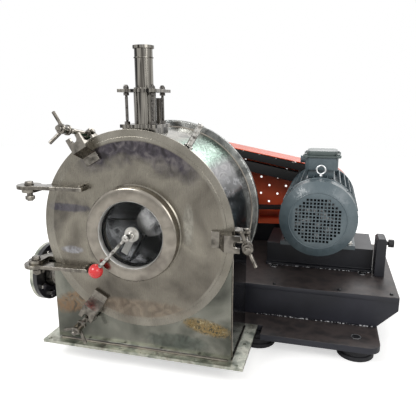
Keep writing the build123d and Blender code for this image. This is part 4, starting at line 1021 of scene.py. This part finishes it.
class CENTRIFUGE_OT_motor(bpy.types.Operator):
    """Finned motor with its fan cowl, foot bolts and lifting eye"""

    bl_idname = "centrifuge.motor"
    bl_label = "Motor"

    def execute(self, context):
        dressed_node("motor_frame", 0.8)
        dressed_node("fan_cowl", 0.8)
        # The cowl's round mouth has a beaded edge, and a ring closes its seam with the frame.
        bm = bmesh.new()
        face = along(spot(MOTOR_X, COWL_FACE, MOTOR_Z), FORWARD)
        turned(bm, ((123.5, -1.0), (128.5, -1.0), (128.0, 1.0), (126.5, 1.8), (124.5, 1.0)), face,
               96, closed=True)
        seam = along(spot(MOTOR_X, COWL_BACK, MOTOR_Z), FORWARD)
        turned(bm, ((171.5, 0.0), (174.5, 0.5), (174.5, 7.5), (171.5, 9.0)), seam, 96, closed=True)
        for number in range(4):
            out = ray(45.0 + 90.0 * number)
            root = spot(MOTOR_X + COWL_RADIUS * out.x, COWL_BACK - 18.0, MOTOR_Z + COWL_RADIUS * out.z)
            hexagon(bm, along(root - out * 3 * MM, out), 7.0, 6.0)
        finished(bm, "cowl_beads_and_screws", "motor_paint")
        bm = bmesh.new()
        for side in (-1, 1):
            for back in (SLIDE_FRONT + 34.0, SLIDE_FRONT + 270.0):
                foot = spot(MOTOR_X + side * 152.0, back, SLIDE_TOP + 20.2)
                bolt(bm, along(foot, UP), 13.0, 10.0, 5.0)
        finished(bm, "motor_foot_bolts", "fastener_steel")
        # The ring's middle radius and its wire's own, over a short collar.
        low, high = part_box("eyebolt")
        eye = (low + high) / 2
        eye.z = high.z - 24.0 * MM
        ring, wire = 19.5, 4.5
        around = [math.radians(a) for a in range(0, 360, 30)]
        bm = bmesh.new()
        turned(bm, [(ring + wire * math.cos(a), wire * math.sin(a)) for a in around], along(eye, FORWARD),
               48, closed=True)
        foot = Vector((eye.x, eye.y, low.z))
        turned(bm, ((0, 0), (9, 0), (9, 3), (7, 4.5), (5.5, 8), (0, 8)), along(foot, UP), 32)
        finished(bm, "lifting_eye", "motor_paint", "machine", ("eyebolt",), finish="zinc")
        return {"FINISHED"}


class CENTRIFUGE_OT_terminals(bpy.types.Operator):
    """Terminal box on the motor with its lid and cable entry"""

    bl_idname = "centrifuge.terminals"
    bl_label = "Terminal box"

    def execute(self, context):
        center = spot(MOTOR_X, TERMINAL_BACK, 0.0)
        # Half widths of the box and its neck, which rise from heights over the flange's underside.
        wide = Vector((75.5 * MM, 75.5 * MM, 0.0))
        neck = Vector((60.0 * MM, 60.0 * MM, 0.0))
        rise = Vector((0.0, 0.0, MM))
        bm = bmesh.new()
        block(bm, center - neck + rise * 600, center + neck + rise * 650, 6.0, 3)
        upright_block(bm, center - wide + rise * 642, center + wide + rise * TERMINAL_LID, 22.0, 1.5)
        entry = along(spot(MOTOR_X - 74.0, 760.0, 684.0), (-1.0, 0.0, 0.0))
        turned(bm, ((12, 0), (20, 0), (20, 5), (17, 6.5), (17, 20), (18.5, 21), (18.5, 25), (17, 26),
                    (12, 26)), entry, 40, closed=True)
        finished(bm, "box_on_its_neck", "motor_paint", "machine", ("terminal_box",))
        bm = bmesh.new()
        rim = Vector((84.0 * MM, 84.0 * MM, 0.0))
        dome = Vector((70.0 * MM, 74.0 * MM, 0.0))
        for half, low, high, corner, edge in ((rim, 0, 8, 9.0, 1.2), (dome, 5, 30, 26.0, 7.0)):
            upright_block(bm, center - half + rise * (TERMINAL_LID + low),
                          center + half + rise * (TERMINAL_LID + high), corner, edge)
        for side in (-1, 1):
            for depth in (-1, 1):
                ear = center + Vector((side * 74.0 * MM, depth * 74.0 * MM, (TERMINAL_LID - 0.5) * MM))
                turned(bm, ((0, 0), (13, 0), (13, 11), (12, 12.5), (7, 12.5), (7, 16), (5.5, 17.5),
                            (0, 17.5)), along(ear, UP), 24)
        finished(bm, "lid_with_ears", "motor_paint", "machine", ("terminal_lid",), finish="lid_paint")
        return {"FINISHED"}


class CENTRIFUGE_OT_guard(bpy.types.Operator):
    """Orange belt guard, its belts and its black web"""

    bl_idname = "centrifuge.guard"
    bl_label = "Belt guard"

    def execute(self, context):
        sizes = context.scene.machine_sizes
        for node in ("belt_guard", "guard_feet", "drive_belts"):
            dressed_node(node, sizes.plate_round / MM)
        # Dark strips along the top of the front sheet are painted shadow bands.
        run = ray(GUARD_SLOPE)
        rise = Vector((-run.z, 0.0, run.x))
        top = spot(0.0, GUARD_FRONT - 0.1, AXIS) + rise * GUARD_EDGE_RADIUS * MM
        # Edges of each shadow strip below the sheet's top line, and its start and end along the line.
        bm = bmesh.new()
        for low, high, start, end in ((-42.0, -3.0, 60.0, 640.0), (-110.0, -56.0, 60.0, 620.0),
                                      (-58.0, -40.0, 480.0, 620.0)):
            plate(bm, ((start, low), (end, low), (end, high), (start, high)), along(top, FORWARD, run),
                  1.2, 0.3)
        finished(bm, "guard_shadow_strips", "belt_rubber")
        bm = bmesh.new()
        for distance in range(60, 640, 95):
            center = top + run * distance * MM - rise * 6.5 * MM
            turned(bm, ((0, 0), (4.6, 0), (4.6, 1.6), (3.4, 2.6), (0, 2.6)), along(center, FORWARD), 16)
        finished(bm, "guard_screws", "fastener_steel")
        bm = bmesh.new()
        web = along(spot(0.0, GUARD_FRONT + 60.0, 0.0), FORWARD, (1.0, 0.0, 0.0))
        plate(bm, ((62.0, BASE_TOP), (573.0, BASE_TOP), (573.0, 273.0), (62.0, 252.5)), web, 12.0, 1.5)
        finished(bm, "guard_web", "base_paint")
        return {"FINISHED"}


class CENTRIFUGE_OT_base(bpy.types.Operator):
    """Black base with its sole plate, feet, motor slide and jack screw"""

    bl_idname = "centrifuge.base"
    bl_label = "Base"

    def execute(self, context):
        sizes = context.scene.machine_sizes
        cast = sizes.casting_round / MM
        for node, finish in (("base_frame", "base_top"), ("sole_plate", "sole_top"),
                             ("motor_slide", "base_paint"), ("slide_post", "base_paint")):
            dressed_node(node, cast, 3, finish)
        dressed_node("jack_screw", 1.2, 3, "black_steel")
        bm = bmesh.new()
        block(bm, spot(-399.0, BASE_FRONT - 4.0, BASE_TOP - 22.0),
              spot(989.0, BASE_FRONT + 20.0, BASE_TOP - 0.2), 1.5)
        finished(bm, "base_top_lip", "base_paint", finish="base_top")
        weld = sizes.weld_radius / MM
        bm = bmesh.new()
        bead(bm, spot(380.0, BASE_FRONT + 1.0, 6.0), spot(900.0, BASE_FRONT + 1.0, 6.0), 1.6 * weld, 11)
        bead(bm, spot(392.0, SLIDE_FRONT + 1.0, BASE_TOP + 2.0),
             spot(894.0, SLIDE_FRONT + 1.0, BASE_TOP + 2.0), weld, 12)
        finished(bm, "base_welds", "base_paint", finish="weld_specks")
        # Bolts in the base's top near its edges, then those through the slide's front lugs.
        bm = bmesh.new()
        for x, back in ((463.0, 455.0), (745.0, 462.0), (960.0, 470.0), (960.0, 1150.0),
                        (-340.0, 1150.0), (-340.0, 470.0)):
            bolt(bm, along(spot(x, back, BASE_TOP + 0.1), UP), 7.0, 4.0)
        for x in SLIDE_LUGS:
            bolt(bm, along(spot(x, SLIDE_FRONT - 14.0, BASE_TOP + 0.1), UP), 13.0, 10.0)
        finished(bm, "base_bolts", "base_paint", finish="black_steel")
        hole = along(spot(*SOLE_HOLE, SOLE_TOP + 0.05), UP)
        bm = bmesh.new()
        for x in SLIDE_LUGS:
            washer(bm, along(spot(x, SLIDE_FRONT - 14.0, BASE_TOP + 0.05), UP), 19.0, 1.4)
        turned(bm, ((17.0, 0), (20.0, 0), (20.0, 1.2), (17.0, 1.2)), hole, 40, closed=True)
        hexagon(bm, along(spot(915.0, SLIDE_FRONT + 46.0, SLIDE_TOP + 48.0), (-1.0, 0.0, 0.0)), 11.0, 8.0)
        finished(bm, "base_washers", "fastener_steel", finish="zinc")
        bm = bmesh.new()
        turned(bm, ((0, 0), (16.5, 0), (16.5, 0.7), (0, 0.7)), hole, 40)
        finished(bm, "sole_hole", "base_paint", finish="black_steel")
        bm = bmesh.new()
        for low, high in node_islands("feet"):
            floor = Vector(((low.x + high.x) / 2, (low.y + high.y) / 2, low.z))
            turned(bm, ((0, 0), (73, 0), (75, 2), (75, 15), (72, 18), (66, 19), (65, 24), (68, 26), (68, 40),
                        (66, 42), (60, 43), (60, 56.8), (0, 56.8)), along(floor, UP), 64)
        finished(bm, "rubber_feet", "foot_rubber", "machine", ("feet",))
        return {"FINISHED"}


class CENTRIFUGE_OT_stage(bpy.types.Operator):
    """Lay the pale floor, set the lamps and the camera"""

    bl_idname = "centrifuge.stage"
    bl_label = "Stage"

    def execute(self, context):
        scene = context.scene
        sizes = scene.machine_sizes
        bm = bmesh.new()
        bmesh.ops.create_grid(bm, x_segments=1, y_segments=1, size=sizes.floor_size / 2)
        bmesh.ops.translate(bm, verts=bm.verts, vec=(0.3, 0.4, FLOOR - 0.5 * MM))
        mesh = bpy.data.meshes.new("Floor")
        bm.to_mesh(mesh)
        bm.free()
        floor = bpy.data.objects.new("Floor", mesh)
        scene.collection.objects.link(floor)
        made, tree = blank_material("Pale studio floor")
        path = add_node(tree, "ShaderNodeLightPath")
        mottle = add_node(tree, "ShaderNodeValToRGB", {"Fac": noise(tree, 400.0, 2.0)}, (
            (0.3, "#efeeec"), (0.7, "#f4f3f1")))
        shader = add_node(tree, "ShaderNodeBsdfPrincipled", {"Base Color": mottle, "Roughness": 0.9})
        # The camera sees the floor lifted to white, and the shadow on it stays.
        lift = add_node(tree, "ShaderNodeEmission", {"Color": linear("#ffffff"), "Strength": 0.55})
        dark = add_node(tree, "ShaderNodeEmission", {"Color": linear("#000000"), "Strength": 0.0})
        shown = add_node(tree, "ShaderNodeMixShader", {0: path.outputs["Is Camera Ray"], 1: dark, 2: lift})
        both = add_node(tree, "ShaderNodeAddShader", {0: shader, 1: shown})
        add_node(tree, "ShaderNodeOutputMaterial", {"Surface": both})
        floor.data.materials.append(made)

        world = bpy.data.worlds.new("Studio")
        scene.world = world
        world.use_nodes = True
        tree = world.node_tree
        tree.nodes.clear()
        path = add_node(tree, "ShaderNodeLightPath")
        seen = path.outputs["Is Camera Ray"]
        for kind in ("Is Glossy Ray", "Is Transmission Ray"):
            seen = add_node(tree, "ShaderNodeMath", {0: seen, 1: path.outputs[kind]}, operation="MAXIMUM")
        fill = add_node(tree, "ShaderNodeBackground", {"Color": linear("#ffffff"), "Strength": 0.55})
        white = add_node(tree, "ShaderNodeBackground", {"Color": linear("#ffffff"), "Strength": 1.0})
        both = add_node(tree, "ShaderNodeMixShader", {0: seen, 1: fill, 2: white})
        add_node(tree, "ShaderNodeOutputWorld", {"Surface": both})

        target = Vector((0.25, 0.2, 0.4))
        for name, place, size, power in (("Key lamp", (-1.6, -2.4, 3.0), 1.6, 70.0),
                                         ("Fill lamp", (2.8, -2.0, 2.2), 2.0, 35.0),
                                         ("Back lamp", (0.8, 3.0, 2.6), 2.0, 40.0)):
            lamp = bpy.data.lights.new(name, "AREA")
            lamp.shape = "DISK"
            lamp.size = size
            lamp.energy = power
            held = bpy.data.objects.new(name, lamp)
            held.location = place
            held.rotation_euler = (target - Vector(place)).to_track_quat("-Z", "Y").to_euler()
            scene.collection.objects.link(held)

        lens = bpy.data.cameras.new("Camera")
        lens.sensor_width = 36.0
        lens.lens = CAMERA_LENS
        lens.shift_x, lens.shift_y = CAMERA_SHIFT
        camera = bpy.data.objects.new("Camera", lens)
        camera.location = CAMERA_PLACE
        camera.rotation_euler = (math.radians(90 - CAMERA_DOWN), 0.0, math.radians(CAMERA_LEFT))
        scene.collection.objects.link(camera)
        scene.camera = camera
        scene.view_settings.view_transform = "Standard"
        return {"FINISHED"}


class CENTRIFUGE_PT_panel(bpy.types.Panel):
    """Lists the pieces of the machine"""

    bl_label = "Centrifuge"
    bl_idname = "CENTRIFUGE_PT_panel"
    bl_space_type = "VIEW_3D"
    bl_region_type = "UI"
    bl_category = "Centrifuge"

    def draw(self, context):
        for name in STEPS:
            self.layout.operator(name)
        for name in MachineSizes.__annotations__:
            self.layout.prop(context.scene.machine_sizes, name)


OPERATORS = (CENTRIFUGE_OT_stage, CENTRIFUGE_OT_finishes, CENTRIFUGE_OT_housing, CENTRIFUGE_OT_door,
             CENTRIFUGE_OT_hinges, CENTRIFUGE_OT_wiper, CENTRIFUGE_OT_clamps, CENTRIFUGE_OT_feed,
             CENTRIFUGE_OT_ports, CENTRIFUGE_OT_drum, CENTRIFUGE_OT_bearing, CENTRIFUGE_OT_motor,
             CENTRIFUGE_OT_terminals, CENTRIFUGE_OT_guard, CENTRIFUGE_OT_base)
STEPS = tuple(operator.bl_idname for operator in OPERATORS)
CLASSES = (MachineSizes, *OPERATORS, CENTRIFUGE_PT_panel)


def register():
    """Registers the classes and the scene's sizes."""
    for item in CLASSES:
        bpy.utils.register_class(item)
    bpy.types.Scene.machine_sizes = bpy.props.PointerProperty(type=MachineSizes)


def unregister():
    """Takes the classes and the sizes away."""
    del bpy.types.Scene.machine_sizes
    for item in reversed(CLASSES):
        bpy.utils.unregister_class(item)


def main():
    """Builds the stage and the pieces."""
    register()
    for name in STEPS:
        group, operator = name.split(".")
        getattr(getattr(bpy.ops, group), operator)()


if __name__ == "__main__":
    main()
